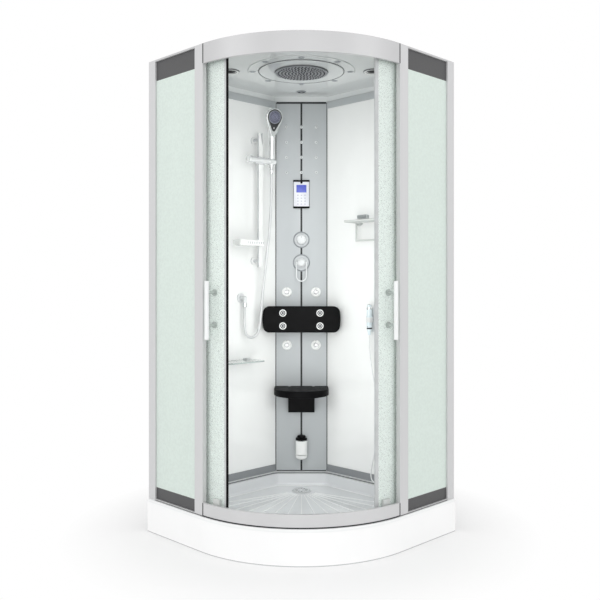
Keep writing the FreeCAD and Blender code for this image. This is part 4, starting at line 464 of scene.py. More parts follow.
# ---- mesh helpers ----
class Shape:
    """Collects turned, swept and cut-out forms and makes one piece of them.

    A form's kind is the number of its finish in the piece.
    """

    def __init__(self):
        self.points = []
        self.faces = []
        self.kinds = []

    def add(self, points, faces, kind=0):
        start = len(self.points)
        self.points += [Vector(p) for p in points]
        self.faces += [[start + i for i in f] for f in faces]
        self.kinds += [kind] * len(faces)
        return self

    def turned(self, profile, place, steps, kind=0):
        """Profile of (radius, height) about the place's z axis; ends on the axis are closed."""
        rows = []
        points = []
        for r, h in profile:
            if r < 1e-6:
                rows.append([len(points)])
                points.append(place @ Vector((0, 0, h)))
                continue
            rows.append(list(range(len(points), len(points) + steps)))
            for i in range(steps):
                a = math.tau * i / steps
                points.append(place @ Vector((r * math.cos(a), r * math.sin(a), h)))
        faces = []
        for low, high in zip(rows, rows[1:]):
            for i in range(steps):
                j = (i + 1) % steps
                if len(low) == 1:
                    faces.append([high[i], high[j], low[0]])
                elif len(high) == 1:
                    faces.append([low[i], low[j], high[0]])
                else:
                    faces.append([low[i], low[j], high[j], high[i]])
        return self.add(points, faces, kind)

    def plate(self, outline, z0, z1, place, edge, kind=0):
        """Flat outline of (x, y) from height z0 to z1, its top edge rounded by edge."""
        count = len(outline)
        centre = Vector((sum(p[0] for p in outline) / count, sum(p[1] for p in outline) / count))
        rings = [(0.0, z0), (0.0, z1 - edge), (edge * 0.3, z1 - edge * 0.3), (edge, z1)]
        points = []
        for inset, z in rings:
            for x, y in outline:
                v = Vector((x, y)) - centre
                q = centre + v * max(0.0, 1 - inset / max(v.length, 1e-6))
                points.append(place @ Vector((q.x, q.y, z)))
        faces = []
        for a in range(0, (len(rings) - 1) * count, count):
            b = a + count
            for i in range(count):
                j = (i + 1) % count
                faces.append([a + i, a + j, b + j, b + i])
        faces.append(list(range(len(points) - count, len(points))))
        faces.append(list(range(count))[::-1])
        return self.add(points, faces, kind)

    def tube(self, line, radii, sides):
        """Round tube along points, with one radius for each."""
        points = []
        normal = (line[1] - line[0]).normalized().orthogonal()
        for i, p in enumerate(line):
            ahead = (line[min(i + 1, len(line) - 1)] - line[max(i - 1, 0)]).normalized()
            normal = (normal - ahead * normal.dot(ahead)).normalized()
            side = ahead.cross(normal)
            for k in range(sides):
                a = math.tau * k / sides
                points.append(p + (normal * math.cos(a) + side * math.sin(a)) * radii[i])
        faces = []
        for i in range(len(line) - 1):
            for k in range(sides):
                a, b = i * sides + k, i * sides + (k + 1) % sides
                faces.append([a, b, b + sides, a + sides])
        faces.append(list(range(sides))[::-1])
        faces.append(list(range(len(points) - sides, len(points))))
        return self.add(points, faces)

    def piece(self, name, finishes, body, slot, sharp=35.0):
        """The object, smooth but for edges steeper than sharp degrees, riding on body if one is named."""
        mesh = bpy.data.meshes.new(name)
        mesh.from_pydata([p * MM for p in self.points], [], self.faces)
        for finish in finishes:
            mesh.materials.append(MATERIALS[finish].made)
        for face, kind in zip(mesh.polygons, self.kinds):
            face.material_index = kind
            face.use_smooth = True
        work = bmesh.new()
        work.from_mesh(mesh)
        bmesh.ops.recalc_face_normals(work, faces=work.faces)
        limit = math.radians(sharp)
        for edge in work.edges:
            edge.smooth = len(edge.link_faces) != 2 or edge.calc_face_angle(0) < limit
        work.to_mesh(mesh)
        work.free()
        obj = new_object(name, mesh)
        if body:
            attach(obj, body)
        return obj


def rounded_box(w, h, r, steps=6):
    """Outline of a w by h rectangle with round corners."""
    corners = [(w / 2 - r, h / 2 - r, 0), (-w / 2 + r, h / 2 - r, 90),
               (-w / 2 + r, -h / 2 + r, 180), (w / 2 - r, -h / 2 + r, 270)]
    points = []
    for x, y, start in corners:
        for i in range(steps + 1):
            a = math.radians(start + 90 * i / steps)
            points.append((x + r * math.cos(a), y + r * math.sin(a)))
    return points


def arc(r, start, span, steps, y=0.0):
    """Points of a circle about (0, y), over span degrees from start."""
    angles = [math.radians(start + span * i / steps) for i in range(steps + 1)]
    return [(r * math.cos(a), y + r * math.sin(a)) for a in angles]


def moved(outline, dx, dy):
    return [(x + dx, y + dy) for x, y in outline]


# ---- hoses ----
def nurbs_points(route):
    """Points of the smooth line that has the route as its control points."""
    curve = bpy.data.curves.new("route", "CURVE")
    curve.dimensions = "3D"
    spline = curve.splines.new("NURBS")
    spline.points.add(len(route) - 1)
    for control, p in zip(spline.points, route):
        control.co = (*p, 1)
    spline.order_u = 3
    spline.use_endpoint_u = True
    spline.resolution_u = 24
    holder = bpy.data.objects.new("route", curve)
    mesh = bpy.data.meshes.new_from_object(holder)
    line = [v.co.copy() for v in mesh.vertices]
    bpy.data.objects.remove(holder)
    bpy.data.curves.remove(curve)
    bpy.data.meshes.remove(mesh)
    return line


def smooth_line(route, step):
    """Points about every step millimetres along the route's smooth line."""
    line = nurbs_points(route)
    lengths = [0.0]
    for a, b in zip(line, line[1:]):
        lengths.append(lengths[-1] + (b - a).length)
    count = round(lengths[-1] / step)
    even = []
    k = 0
    for i in range(count + 1):
        want = lengths[-1] * i / count
        while k < len(line) - 2 and lengths[k + 1] < want:
            k += 1
        share = (want - lengths[k]) / max(lengths[k + 1] - lengths[k], 1e-9)
        even.append(line[k].lerp(line[k + 1], share))
    return even


def hose_piece(name, line, r, depth, turn, sides, finish):
    """A tube whose sheath has a rib every turn points."""
    radii = [r - depth * (0.5 - 0.5 * math.cos(math.tau * i / turn)) for i in range(len(line))]
    return Shape().tube(line, radii, sides).piece(name, [finish], None, finish, sharp=80)


HOSE_ROUTE = [
    (463, 60, 1038), (463, 60, 1000), (464.5, 61.5, 950), (466, 65, 888), (442, 69, 864),
    (408, 73, 864), (384, 78, 888), (377, 84, 952), (371, 90, 1060), (360, 95, 1180), (343, 98, 1300),
    (328, 100, 1420), (320.5, 101.5, 1540), (318, 101, 1650), (318, 101, 1722),
]
THIN_ROUTE = [
    (534, 58, 880), (534, 58, 850), (537, 61, 815), (546, 66, 775), (560, 72, 725), (577, 77, 665),
    (592, 80, 600), (602, 81, 530), (603, 81, 460), (598, 80.5, 390), (588, 80, 325), (573, 79, 262),
    (560, 78, 208), (562, 78, 176), (578, 77, 161), (600, 74, 163), (620, 69, 182),
    (634, 63, 215), (640, 57, 250), (640, 57, 284),
]
HOSE_R, HOSE_RIB, HOSE_STEP = 7.0, 0.45, 1.1
THIN_R, THIN_RIB, THIN_STEP = 3.0, 0.2, 0.9
SPLIT_Z = 1560.0  # where the lower piece ends and the upper one begins
OUTLET_S, OUTLET_N, OUTLET_Z = HOSE_ROUTE[0]
HELD_S, HELD_N, HELD_Z = HOSE_ROUTE[-1]
SPRAYER_S, SPRAYER_N, SPRAYER_Z = THIN_ROUTE[0]

hose_line = smooth_line([left_wall(*p) for p in HOSE_ROUTE], HOSE_STEP)
split = next(i for i, p in enumerate(hose_line) if p.z > SPLIT_Z)
lower_line, upper_line = hose_line[:split + 1], hose_line[split:]
hose_lower = hose_piece("shower_hose_lower", lower_line, HOSE_R, HOSE_RIB, 4, 14, "hose_steel")
hose_upper = hose_piece("shower_hose_upper", upper_line, HOSE_R, HOSE_RIB, 4, 14, "hose_steel")
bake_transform(hose_lower)
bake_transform(hose_upper)
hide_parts("shower_hose")

thin_line = smooth_line([right_wall(*p) for p in THIN_ROUTE], THIN_STEP)
thin_hose = hose_piece("sprayer_hose_tube", thin_line, THIN_R, THIN_RIB, 3, 10, "hose_grey")
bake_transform(thin_hose)
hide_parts("sprayer_hose")

# a pair of nuts at the wall outlet, turned towards each other, and one under the hand shower
NUT = [(7.2, 0), (8.4, 0.6), (8.8, 2), (8.8, 9), (10.2, 11), (10.4, 12), (10.4, 22), (9.8, 23), (6, 23)]
NUT_TOP_Z, NUT_FOOT_Z = 1039, 1016
nuts = Shape().turned(NUT, axes(left_wall(OUTLET_S, OUTLET_N, NUT_TOP_Z), DOWN), 36)
nuts.turned([(r, -h) for r, h in NUT[::-1]], axes(left_wall(OUTLET_S, OUTLET_N, NUT_FOOT_Z), DOWN), 36)
nuts.piece("hose_nut_lower", ["chrome"], "cabin", "chrome")
held_nut = Shape().turned(NUT, axes(left_wall(HELD_S, HELD_N, 1696), UP), 36)
held_nut.tube([left_wall(HELD_S, HELD_N, 1680), left_wall(HELD_S, HELD_N, HELD_Z)], [6.2, 6.2], 20)
held_nut.piece("hose_nut_upper", ["plastic_chromed"], "handset", "plastic_chromed")


# ---- overhead: shower, lights, speakers and vent ----
LAMP_COUNT, LAMP_R = 8, 224
SPEAKER_X, SPEAKER_D = 328, 696
VENT_D = 316
RIPPLES = 13  # rings of a speaker's grille


def overhead(x, d, z):
    return axes(on_column(x, d, z), DOWN, FRONT)


def disc_of_dots(shape, place, rings, first, pitch, profile):
    """Small turned dots of the second finish: ring k has 6 k of them."""
    for k in range(1, rings + 1):
        r = first + pitch * (k - 1)
        for i in range(6 * k):
            a = math.tau * i / (6 * k) + 0.26 * k
            spot = place @ Matrix.Translation((r * math.cos(a), r * math.sin(a), 0))
            shape.turned(profile, spot, 8, 1)


def rain_nozzles():
    head = overhead(0, HEAD_D, CEILING_Z - 12)
    shape = Shape().turned([(117.4, -0.2), (118.4, 0.9), (120.4, 0.7), (120.8, -1.5)], head, 96)
    nozzle = [(4.1, -0.1), (3.8, 0.9), (2.6, 1.1), (2.0, 2.6), (0.8, 2.6), (0, 2.1)]
    disc_of_dots(shape, head, 7, 12, 15.6, nozzle)
    shape.piece("rain_nozzles", ["ring_grey", "silicone"], "cabin", "plastic_grey")


def ring_grooves():
    """Shadow lines round the raised ring and round the shower disc."""
    outer = [(195.2, 4.2), (196.2, 5.4), (197.6, 5.2), (198, 2.8)]
    inner = [(121.6, 0.2), (122.6, 1.2), (124.0, 1.0), (124.4, 0)]
    shape = Shape().turned(outer, overhead(0, HEAD_D, CEILING_Z - 1), 120)
    shape.turned(inner, overhead(0, HEAD_D, CEILING_Z - 5.5), 96)
    shape.piece("ring_grooves", ["painted_shade_grey"], "cabin", "plastic_dark")


def ceiling_lamps():
    rim = [(11.3, -1), (11.3, 1.2), (12.2, 2.0), (14.2, 1.6), (15.5, 0.3), (15.5, -0.4)]
    glass = [(11.0, 0.9), (10.2, 1.5), (6, 1.2), (5.2, 2.0), (0, 2.4)]
    pot = [(0, 0), (13, 0), (13, 3), (10, 4), (10, 14), (8.5, 15.5), (3, 15.5), (3, 20), (0, 20)]
    shape = Shape()
    for i in range(LAMP_COUNT):
        a = math.tau * i / LAMP_COUNT
        x, d = LAMP_R * math.sin(a), HEAD_D + LAMP_R * math.cos(a)
        spot = overhead(x, d, CEILING_Z - 3)
        shape.turned(rim, spot, 36)
        shape.turned(glass, spot, 28, 1)
        shape.turned(pot, axes(on_column(x, d, CEILING_Z + 4), UP, FRONT), 28, 2)
    shape.piece("ceiling_lamps", ["ring_grey", "lens", "plastic_dark"], "cabin", "plastic_grey")


def speaker_grilles():
    ripples = [(29.4, -3.2)]
    for i in range(RIPPLES):
        r = 28.6 - 2.2 * i
        rise = 0.12 * i
        ripples += [(r, -2.4 + rise), (r - 0.7, -1.6 + rise), (r - 1.5, -2.2 + rise)]
    ripples.append((0, 0.1))
    shape = Shape()
    for x in (-SPEAKER_X, SPEAKER_X):
        spot = overhead(x, SPEAKER_D, CEILING_Z - 4)
        shape.turned(ripples, spot, 48)
        # The dark rings on either side of the white ring are painted shade lines.
        shape.turned([(29.6, -0.8), (30.4, 0.6), (31.6, 0.6), (32.4, -0.2)], spot, 48, 1)
        shape.turned([(33.4, -0.4), (34.4, 1.0), (39.6, 1.4), (40.6, 0.2)], spot, 48, 2)
        shape.turned([(40.8, 0.3), (41.6, 0.8), (42.8, -1.0), (43.6, -4.0)], spot, 48, 1)
    shape.piece("speaker_grilles", ["plastic_dark", "painted_shade_grey", "plastic_white"], "cabin",
                "plastic_dark")


def vent_trim():
    vent = overhead(0, VENT_D, CEILING_Z - 4)
    shape = Shape().turned([(5.8, -2), (5.8, 0.4), (4.2, 1.2), (0, 1.4)], vent, 24)
    shape.turned([(17.5, -1.6), (18.5, 0.2), (23.0, 0.3), (24.6, -1.4), (24.6, -4)], vent, 48, 1)
    shape.piece("vent_trim", ["chrome", "ring_grey"], "cabin", "plastic_grey")


rain_nozzles()
ring_grooves()
ceiling_lamps()
speaker_grilles()
vent_trim()


# ---- column: edge strips and display ----
STRIPS = ((CEILING_Z - 25.5, 9.0), (152.5, 4.0))  # height of the middle and width
COLUMN_W = 262.0
PANEL_Z, PANEL_FRONT = 1604.0, 190.3
SCREEN_UP = 28  # middle of the screen above the middle of the display
KEY_PITCH, KEY_ROW, FIRST_KEY_UP = 18.5, 15.5, -6
ROUND_KEY = (0, 2)  # column and row of the one round key


def column_strips():
    shape = Shape()
    for z, tall in STRIPS:
        place = axes(on_column(0, COLUMN_D, z), FRONT)
        shape.plate(rounded_box(COLUMN_W, tall, 0.8, 2), -0.6, 1.2, place, 0.4)
    shape.piece("column_strips", ["plastic_dark"], "cabin", "plastic_dark")


def display_frame(display):
    """White face between two black bars."""
    face = Shape().plate(rounded_box(80.6, 129, 1.2), -1.5, 1.0, display, 0.5)
    face.piece("display_face", ["panel_face"], "cabin", "plastic_white")
    bars = Shape()
    for z in (-69.2, 69.2):
        bars.plate(moved(rounded_box(86.5, 9.4, 2.2), 0, z), -12.2, 1.5, display, 0.6)
    bars.piece("display_bars", ["plastic_black"], "cabin", "plastic_black")


def display_screen(display):
    frame_line = moved(rounded_box(53.5, 41, 1.5), 0, SCREEN_UP)
    screen = moved(rounded_box(51.6, 39, 1), 0, SCREEN_UP)
    shape = Shape().plate(frame_line, 0.9, 1.25, display, 0.15).plate(screen, 1.0, 1.45, display, 0.1, 1)
    shape.piece("display_screen", ["key_print", "screen_blue"], "cabin", "plastic_black")


def display_keys(display):
    shape = Shape()
    for row in range(4):
        for column in (-1, 0, 1):
            outline = rounded_box(8.4, 4.6, 1.6, 3)
            if (column, row) == ROUND_KEY:
                outline = arc(3.4, 0, 360, 16)[:-1]
            outline = moved(outline, KEY_PITCH * column, FIRST_KEY_UP - KEY_ROW * row)
            shape.plate(outline, 0.9, 1.35, display, 0.25)
    shape.piece("display_keys", ["key_print"], "cabin", "plastic_grey")


def display_notch(display):
    notch = [(-6, 66), (6, 66), (6, 59), (3.5, 54.5), (-3.5, 54.5), (-6, 59)]
    shape = Shape().plate(notch, 0.5, 1.6, display, 0.2)
    shape.piece("display_notch", ["plastic_black"], "cabin", "plastic_black")


column_strips()
display_place = axes(on_column(0, PANEL_FRONT, PANEL_Z), FRONT)
display_frame(display_place)
display_screen(display_place)
display_keys(display_place)
display_notch(display_place)


# ---- column: rosettes and jets ----
DIVERTER_Z, MIXER_Z = 1365, 1244
MICRO_X, MICRO_Z = (-78, 0, 78), (1958, 1878, 1799, 1719)
JET_X, JET_Z = (-76.5, 76.5), (1090, 812)
PAD_Z, PAD_FRONT = 951, 290
PAD_JET_X, PAD_JET_UP = (-95, 95), (-33, 33)


def rosette_rings(name, z, radius, body, cap_radius, cap_front):
    """Edge bead round a rosette in dark grey, a painted shade line for its outline, with the turned steps
    of the control's face.
    """
    rose = axes(on_column(0, COLUMN_D + 0.3, z), FRONT)
    edge = [(0.6, 0), (0.9, 2.4), (-0.4, 4.2), (-3.2, 5.6), (-4.2, 6.4), (-5.8, 6.5), (-6.4, 5.8)]
    Shape().turned([(radius + out, h) for out, h in edge], rose, 72).piece(
        name + "_edge", ["ring_grey"], "cabin", "chrome")
    face = axes(on_column(0, cap_front, z), FRONT)
    steps = [(0, -1.0), (-0.6, 0.4), (-2.4, 0.9), (-3.2, 0.2), (-4.2, 0.2), (-5.0, 1.1)]
    profile = [(cap_radius + out, h) for out, h in steps] + [(3, 1.9), (2.2, 1.4), (0, 1.4)]
    Shape().turned(profile, face, 56).piece(name + "_face", ["cap_pale"], body, "plastic_chromed")


def diverter_pointer():
    pointer = axes(on_column(0, 215.6, DIVERTER_Z + 12.5), FRONT)
    Shape().plate(rounded_box(2.2, 8, 1, 3), 0, 0.7, pointer, 0.2).piece(
        "diverter_pointer", ["ring_grey"], "diverter_knob", "chrome")


def column_spots(columns, heights, depth):
    """Places for jets that look forward, column by column."""
    return [axes(on_column(x, depth, z), FRONT) for x in columns for z in heights]


def small_jets():
    shape = Shape()
    for spot in column_spots(MICRO_X, MICRO_Z, COLUMN_D + 0.3):
        shape.turned([(7.6, 0), (7.8, 1.6), (6.4, 3.2), (4.4, 3.9), (3.6, 3.3), (3.2, 2.9)], spot, 24)
        shape.turned([(3.4, 2.7), (2.4, 3.6), (1.2, 3.8), (0, 3.2)], spot, 16, 1)
    shape.piece("small_jets", ["cap_pale", "lens"], "cabin", "plastic_chromed")


def body_jet_rings():
    """Rings with three ticks on one side; the middle one is dark, a painted reflection on the jet's ring.
    """
    rim = [(25.6, 0), (25.9, 2.6), (24.4, 5.0), (21.6, 6.4), (19.6, 6.6), (18.8, 5.9), (17.6, 5.9)]
    tick = moved(rounded_box(2.2, 5.6, 1, 3), 21.4, 0)
    shape = Shape()
    for spot in column_spots(JET_X, JET_Z, COLUMN_D + 0.3):
        shape.turned(rim, spot, 48)
        # The dark middle tick is a painted reflection.
        for angle, kind in ((58, 0), (90, 1), (122, 0)):
            turn = spot @ Matrix.Rotation(math.radians(angle), 4, "Z")
            shape.plate(tick, 5.2, 6.9, turn, 0.1, kind)
    shape.piece("body_jet_rings", ["plastic_white", "plastic_dark"], "cabin", "plastic_chromed")


def pad_jets():
    """The backrest's jets: a pale rim, a dark well, a pale ring and a dark core."""
    shape = Shape()
    for spot in column_spots(PAD_JET_X, [PAD_Z + up for up in PAD_JET_UP], PAD_FRONT):
        shape.turned([(18.4, 0), (18.6, 3.2), (17.6, 5.6), (15.6, 6.4), (14.0, 6.2), (13.2, 5.2)], spot, 40)
        shape.turned([(13.4, 5.1), (12.0, 5.6), (9.4, 5.4), (8.4, 5.2)], spot, 36, 1)
        shape.turned([(8.6, 5.2), (8.0, 6.2), (6.0, 6.4), (5.2, 5.6)], spot, 36, 2)
        shape.turned([(5.4, 5.5), (4.0, 5.2), (2.0, 5.9), (0, 6.0)], spot, 28, 1)
    shape.piece("pad_jets", ["plastic_white", "plastic_dark", "cap_pale"], "cabin", "plastic_chromed")


rosette_rings("diverter", DIVERTER_Z, 42, "diverter_knob", 21, 214.6)
rosette_rings("mixer", MIXER_Z, 44, "mixer_cap", 16, 218.6)
diverter_pointer()
small_jets()
body_jet_rings()
pad_jets()


# ---- soap dish, steam head and drain ----
SOAP_S, SOAP_FRONT, SOAP_Z = 400, 129.6, 1337.0
STEAM_D, STEAM_Z = 214, 320.3
DRAIN_D, DRAIN_Z = 333, 90.3


def soap_dish_ribs():
    shape = Shape()
    for i in range(9):
        spot = axes(left_wall(SOAP_S + 12 * i, SOAP_FRONT, SOAP_Z), LEFT_OUT)
        shape.plate(rounded_box(3.2, 12, 1.4, 3), -1, 0.9, spot, 0.4)
    shape.piece("soap_dish_ribs", ["ring_grey"], "soap_dish", "plastic_grey")


def steam_head():
    """Turned cap with a fluted grip, over a bright ring on the outlet."""
    steam = axes(on_column(0, STEAM_D, STEAM_Z), UP, FRONT)
    profile = [(0, -16), (18, -16), (18, 0), (28.5, 0), (30, 2), (30.2, 8.5), (28.8, 10.5), (23, 12),
               (21.6, 13.5), (21.4, 20), (19.6, 23.4), (17, 24), (0, 24)]
    shape = Shape().turned(profile, steam, 56)
    flute = moved(rounded_box(1.6, 1.6, 0.6, 2), 21.3, 0)
    for turn in around(steam, 20):
        shape.plate(flute, 14.5, 19.5, turn, 0.3)
    cap = shape.piece("aroma_cap_turned", ["plastic_black"], "aroma_cap", "plastic_black")
    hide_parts("aroma_cap")
    ring = [(31.0, -4.2), (31.7, -3.4), (31.7, -1.2), (31.0, -0.3), (28.5, -0.15)]
    Shape().turned(ring, steam, 56).piece("steam_outlet_ring", ["chrome"], "cabin", "chrome")


def drain_rose():
    """Bright rim and boss, with dark slots between them: dark plates standing for the shade in the
    openings.
    """
    drain = axes(on_column(0, DRAIN_D, DRAIN_Z), UP, FRONT)
    shape = Shape().turned([(46, -1.6), (44.6, 0.1), (43.6, 0.5), (42.4, 0.5), (41.6, 0.05)], drain, 64)
    shape.turned([(9, 0), (8.2, 0.9), (6.6, 1.0), (6.0, 0.3), (0, 0.2)], drain, 32)
    slot = moved(rounded_box(13, 3.4, 1.6, 4), 27, 0)
    for turn in around(drain, 12):
        shape.plate(slot, -0.2, 0.35, turn, 0.1, 1)
    shape.piece("drain_rose", ["chrome", "plastic_dark"], "drain_cover", "chrome")


soap_dish_ribs()
steam_head()
drain_rose()


# ---- hand shower ----
FACE_AT = (331.2, 141.5, 1976.8)
FACE_OUT, FACE_UP = (0.302, 0.930, -0.208), (0.064, 0.198, 0.978)


def left_vector(s, n, z):
    return LEFT_ALONG * s + LEFT_OUT * n + UP * z


def handset_face(face):
    """Lilac spray face with rings of small dots, in a grey ring on a dark drop-shaped insert."""
    drop = arc(38.6, -28, 236, 32) + arc(9.5, 208, 124, 8, -62)
    Shape().plate(drop, -1.0, 0.7, face, 0.5).piece(
        "handset_insert", ["plastic_dark"], "handset", "plastic_dark")
    Shape().turned([(33.4, 0), (33.2, 1.2), (32.4, 1.8), (31.2, 1.7), (30.6, 0.8)], face, 64).piece(
        "handset_ring", ["ring_grey"], "handset", "plastic_chromed")
    steps = [(31, 0.3), (30.4, 1.3), (24, 1.5), (23.4, 0.7), (21.8, 0.7), (21.2, 1.6), (12, 1.8),
             (11.4, 0.9), (10.0, 0.9), (9.4, 1.9), (0, 2.1)]
    spray = Shape().turned(steps, face, 64)
    disc_of_dots(spray, face, 4, 5.4, 7.2, [(1.9, 1.0), (1.6, 2.4), (1.1, 3.0), (0, 2.7)])
    spray.piece("handset_face", ["face_lilac", "silicone"], "handset", "plastic_grey")
    button = face @ Matrix.Translation((0, -55, 0))
    Shape().plate(rounded_box(6, 9, 2.9, 5), 0.4, 1.7, button, 0.8).piece(
        "handset_button", ["plastic_chromed"], "handset", "plastic_chromed")


handset_face(axes(left_wall(*FACE_AT), left_vector(*FACE_OUT), left_vector(*FACE_UP)))


# ---- glass frame and doors: seams, seal lips and bolt caps ----
RAIL_SEAM_R = (585, 590.5)
RAIL_SEAM_Z = (150.05, 155.2)
RAIL_END = 44.9  # degrees to either side at which the curved rails end
SEAM_JOINTS = ((2107.5, 84), (178.5, 56))  # middle and height of the joints with the door posts
PANE_FOOT_Z, PANE_FOOT_L = 151.3, 348
LIP_RINGS = ((557.9, 558.5, 34.25), (548.4, 549.0, 34.42))  # radii and the angle each lip reaches
LIP_Z, LIP_ROOT = (168.2, 2093.8), 35.2
SEAL_ANGLE, BOLT_ANGLES = 33.6, (5.4, 40.0)  # the bolts' angles are counted from the seal
BOLT_TOP_Z, BOLT_FOOT_Z = 2111.3, 217.0


def arc_strip(shape, r0, r1, z0, z1, a0, a1):
    """A band of rectangular section round the centre of the curved front."""
    steps = max(2, round(abs(a1 - a0) / 1.5))
    points = []
    for i in range(steps + 1):
        a = a0 + (a1 - a0) * i / steps
        points += [on_arc(r0, a, z0), on_arc(r1, a, z0), on_arc(r1, a, z1), on_arc(r0, a, z1)]
    faces = [[3, 2, 1, 0], [len(points) - 4 + k for k in range(4)]]
    for i in range(steps):
        for k in range(4):
            j = (k + 1) % 4
            faces.append([4 * i + k, 4 * i + j, 4 * i + 4 + j, 4 * i + 4 + k])
    return shape.add(points, faces)


def frame_shadow_seams():
    """Dark strips: a bead under the bottom rail, made thick to stand for the shadow under it, and painted
    shadow lines where the rails meet the posts and under the side panes.
    """
    shape = arc_strip(Shape(), *RAIL_SEAM_R, *RAIL_SEAM_Z, -RAIL_END, RAIL_END)
    for sign, facing, along in ((-1, LEFT_ALONG, LEFT_OUT), (1, RIGHT_ALONG, RIGHT_OUT)):
        for z, tall in SEAM_JOINTS:
            end = on_arc(588.9, sign * 44.93, z)
            outward = end - on_arc(0, 0, z)
            shape.plate(rounded_box(6.0, tall, 0.6, 2), -2, 1.5, axes(end, outward), 0.4)
        middle = on_arc(590, sign * 45, PANE_FOOT_Z) - along * 175
        shape.plate(rounded_box(PANE_FOOT_L, 2.4, 0.5, 2), -2, 0.35, axes(middle, facing), 0.2)
    shape.piece("frame_shadow_seams", ["plastic_dark"], "cabin", "rubber_black")


def seal_lip(side, sign):
    shape = Shape()
    for inner, outer, reach in LIP_RINGS:
        arc_strip(shape, inner, outer, *LIP_Z, sign * LIP_ROOT, sign * reach)
    shape.piece("seal_lip_" + side, ["seal_grey"], "door_" + side, "seal_pale")


def bolt_caps(side, sign):
    """Caps inside the pane at its four bolts, and outside it at the upper two."""
    inner = [(9.3, -2.5), (9.5, 0.6), (8.2, 1.8), (4.6, 2.0), (4.0, 0.6), (0, 0.4)]
    outer = [(6.2, -0.6), (6.4, 0.6), (5.2, 1.4), (0, 1.6)]
    shape = Shape()
    for behind in BOLT_ANGLES:
        angle = sign * (SEAL_ANGLE + behind)
        inward = on_arc(500, angle, 0) - on_arc(600, angle, 0)
        shape.turned(inner, axes(on_arc(543.7, angle, BOLT_TOP_Z), inward), 32)
        shape.turned(outer, axes(on_arc(568.8, angle, BOLT_TOP_Z), -inward), 24)
        shape.turned(inner, axes(on_arc(543.7, angle, BOLT_FOOT_Z), inward), 32)
    shape.piece("bolt_caps_" + side, ["chrome"], "door_" + side, "chrome")


frame_shadow_seams()
for side, sign in SIDES:
    seal_lip(side, sign)
for side, sign in SIDES:
    bolt_caps(side, sign)


# ---- right wall: towel rack's rear mount and slim sprayer ----
RACK_S, RACK_Z = 476, 1470
EYES = (("sprayer_eye_upper", 1008), ("sprayer_eye_lower", 921))


def rack_mount_cover():
    mount = axes(right_wall(RACK_S, WALL_FACE, RACK_Z), RIGHT_OUT)
    shape = Shape().plate(rounded_box(64, 21, 7), -0.5, 20, mount, 4)
    for i in range(9):
        shape.plate(moved(rounded_box(3.2, 15, 1.5, 3), -26 + 6.5 * i, 0), 19, 21, mount, 0.6, 1)
    shape.piece("rack_mount_cover", ["trim_pale", "trim_grey"], "cabin", "plastic_grey")


def sprayer_marks():
    """Dark band, bright neck and bright tip, and two dark eyes on the front."""
    foot = axes(right_wall(SPRAYER_S, SPRAYER_N, SPRAYER_Z), UP)
    shape = Shape().turned([(12.9, 29), (13.2, 29.6), (13.2, 36.4), (12.9, 37)], foot, 40)
    shape.turned([(13.2, 128), (13.8, 130), (12.9, 138), (12.4, 139)], foot, 32, 1)
    shape.turned([(10.6, 149.2), (9, 151.4), (3, 152), (0, 151)], foot, 28, 1)
    shape.piece("sprayer_bands", ["plastic_dark", "chrome"], "side_sprayer", "plastic_black")
    for name, z in EYES:
        eye = axes(right_wall(SPRAYER_S, SPRAYER_N + 12.15, z), RIGHT_OUT)
        Shape().turned([(3.0, -1), (2.8, 0.5), (1.8, 0.85), (0, 0.9)], eye, 24).piece(
            name, ["plastic_black"], "side_sprayer", "plastic_black")


rack_mount_cover()
sprayer_marks()


# ---- behind the walls and the column ----
BATTEN_S, BATTEN_N, BATTEN_HEIGHTS = 585, 23, (560, 1150, 1800)
COVER_D, COVER_Z = 84, 365


def wall_battens():
    """Three battens behind each wall panel, each with six screws."""
    screw = [(6.5, -0.5), (6.5, 1.2), (4.6, 3.4), (1.6, 4.0), (1.2, 2.6), (0, 2.6)]
    shape = Shape()
    for wall, out in ((left_wall, LEFT_OUT), (right_wall, RIGHT_OUT)):
        for z in BATTEN_HEIGHTS:
            bar = axes(wall(BATTEN_S, BATTEN_N, z), -out)
            shape.plate(rounded_box(690, 36, 3, 3), -0.5, 12, bar, 2)
            for i in range(6):
                shape.turned(screw, bar @ Matrix.Translation((-310 + 124 * i, 0, 12)), 18, 1)
    shape.piece("wall_battens", ["aluminium", "galvanised"], "cabin", "galvanised")


def generator_cover():
    """Plate with six screws and nine vent slots."""
    back = axes(on_column(0, COVER_D, COVER_Z), BACK)
    screw = [(4.2, 1.2), (4.2, 2.6), (3.2, 3.6), (1.4, 3.8), (1.0, 2.8), (0, 2.8)]
    shape = Shape().plate(rounded_box(136, 330, 6), -0.5, 1.6, back, 0.8)
    for x in (-58, 58):
        for z in (-152, 0, 152):
            shape.turned(screw, back @ Matrix.Translation((x, z, 0)), 20, 1)
    for i in range(9):
        shape.plate(moved(rounded_box(70, 4, 1.9, 3), 0, 60 + 9 * i), 1.2, 2.4, back, 0.5, 2)
    shape.piece("generator_cover", ["galvanised", "chrome", "plastic_dark"], "cabin", "galvanised")


wall_battens()
generator_cover()


# ---- stage, light and camera, in metres ----
FLOOR_HALF = 60.0
FLOOR_COLOUR = (0.93, 0.93, 0.93, 1)
FADE = (0.66, 1.1)  # distances from the middle, between which the floor turns plain white
WHITE_NEAR = 0.2  # share of plain white inside the first distance
AMBIENT = 0.78
CAMERA_DISTANCE = 4.280  # from the room corner
CAMERA_HEIGHT = 1.130
PICTURE = 600  # width of the picture in pixels
FOCAL = 780  # focal length in the same pixels
SHIFT = (-1.4, -15.5)
SENSOR = 36.0


def seen_ray(tree):
    """1 on rays from the camera and on those through gloss and glass."""
    path = tree.nodes.new("ShaderNodeLightPath")
    seen = maths(tree, "MAXIMUM", path.outputs["Is Camera Ray"], path.outputs["Is Glossy Ray"])
    return maths(tree, "MAXIMUM", seen, path.outputs["Is Transmission Ray"])


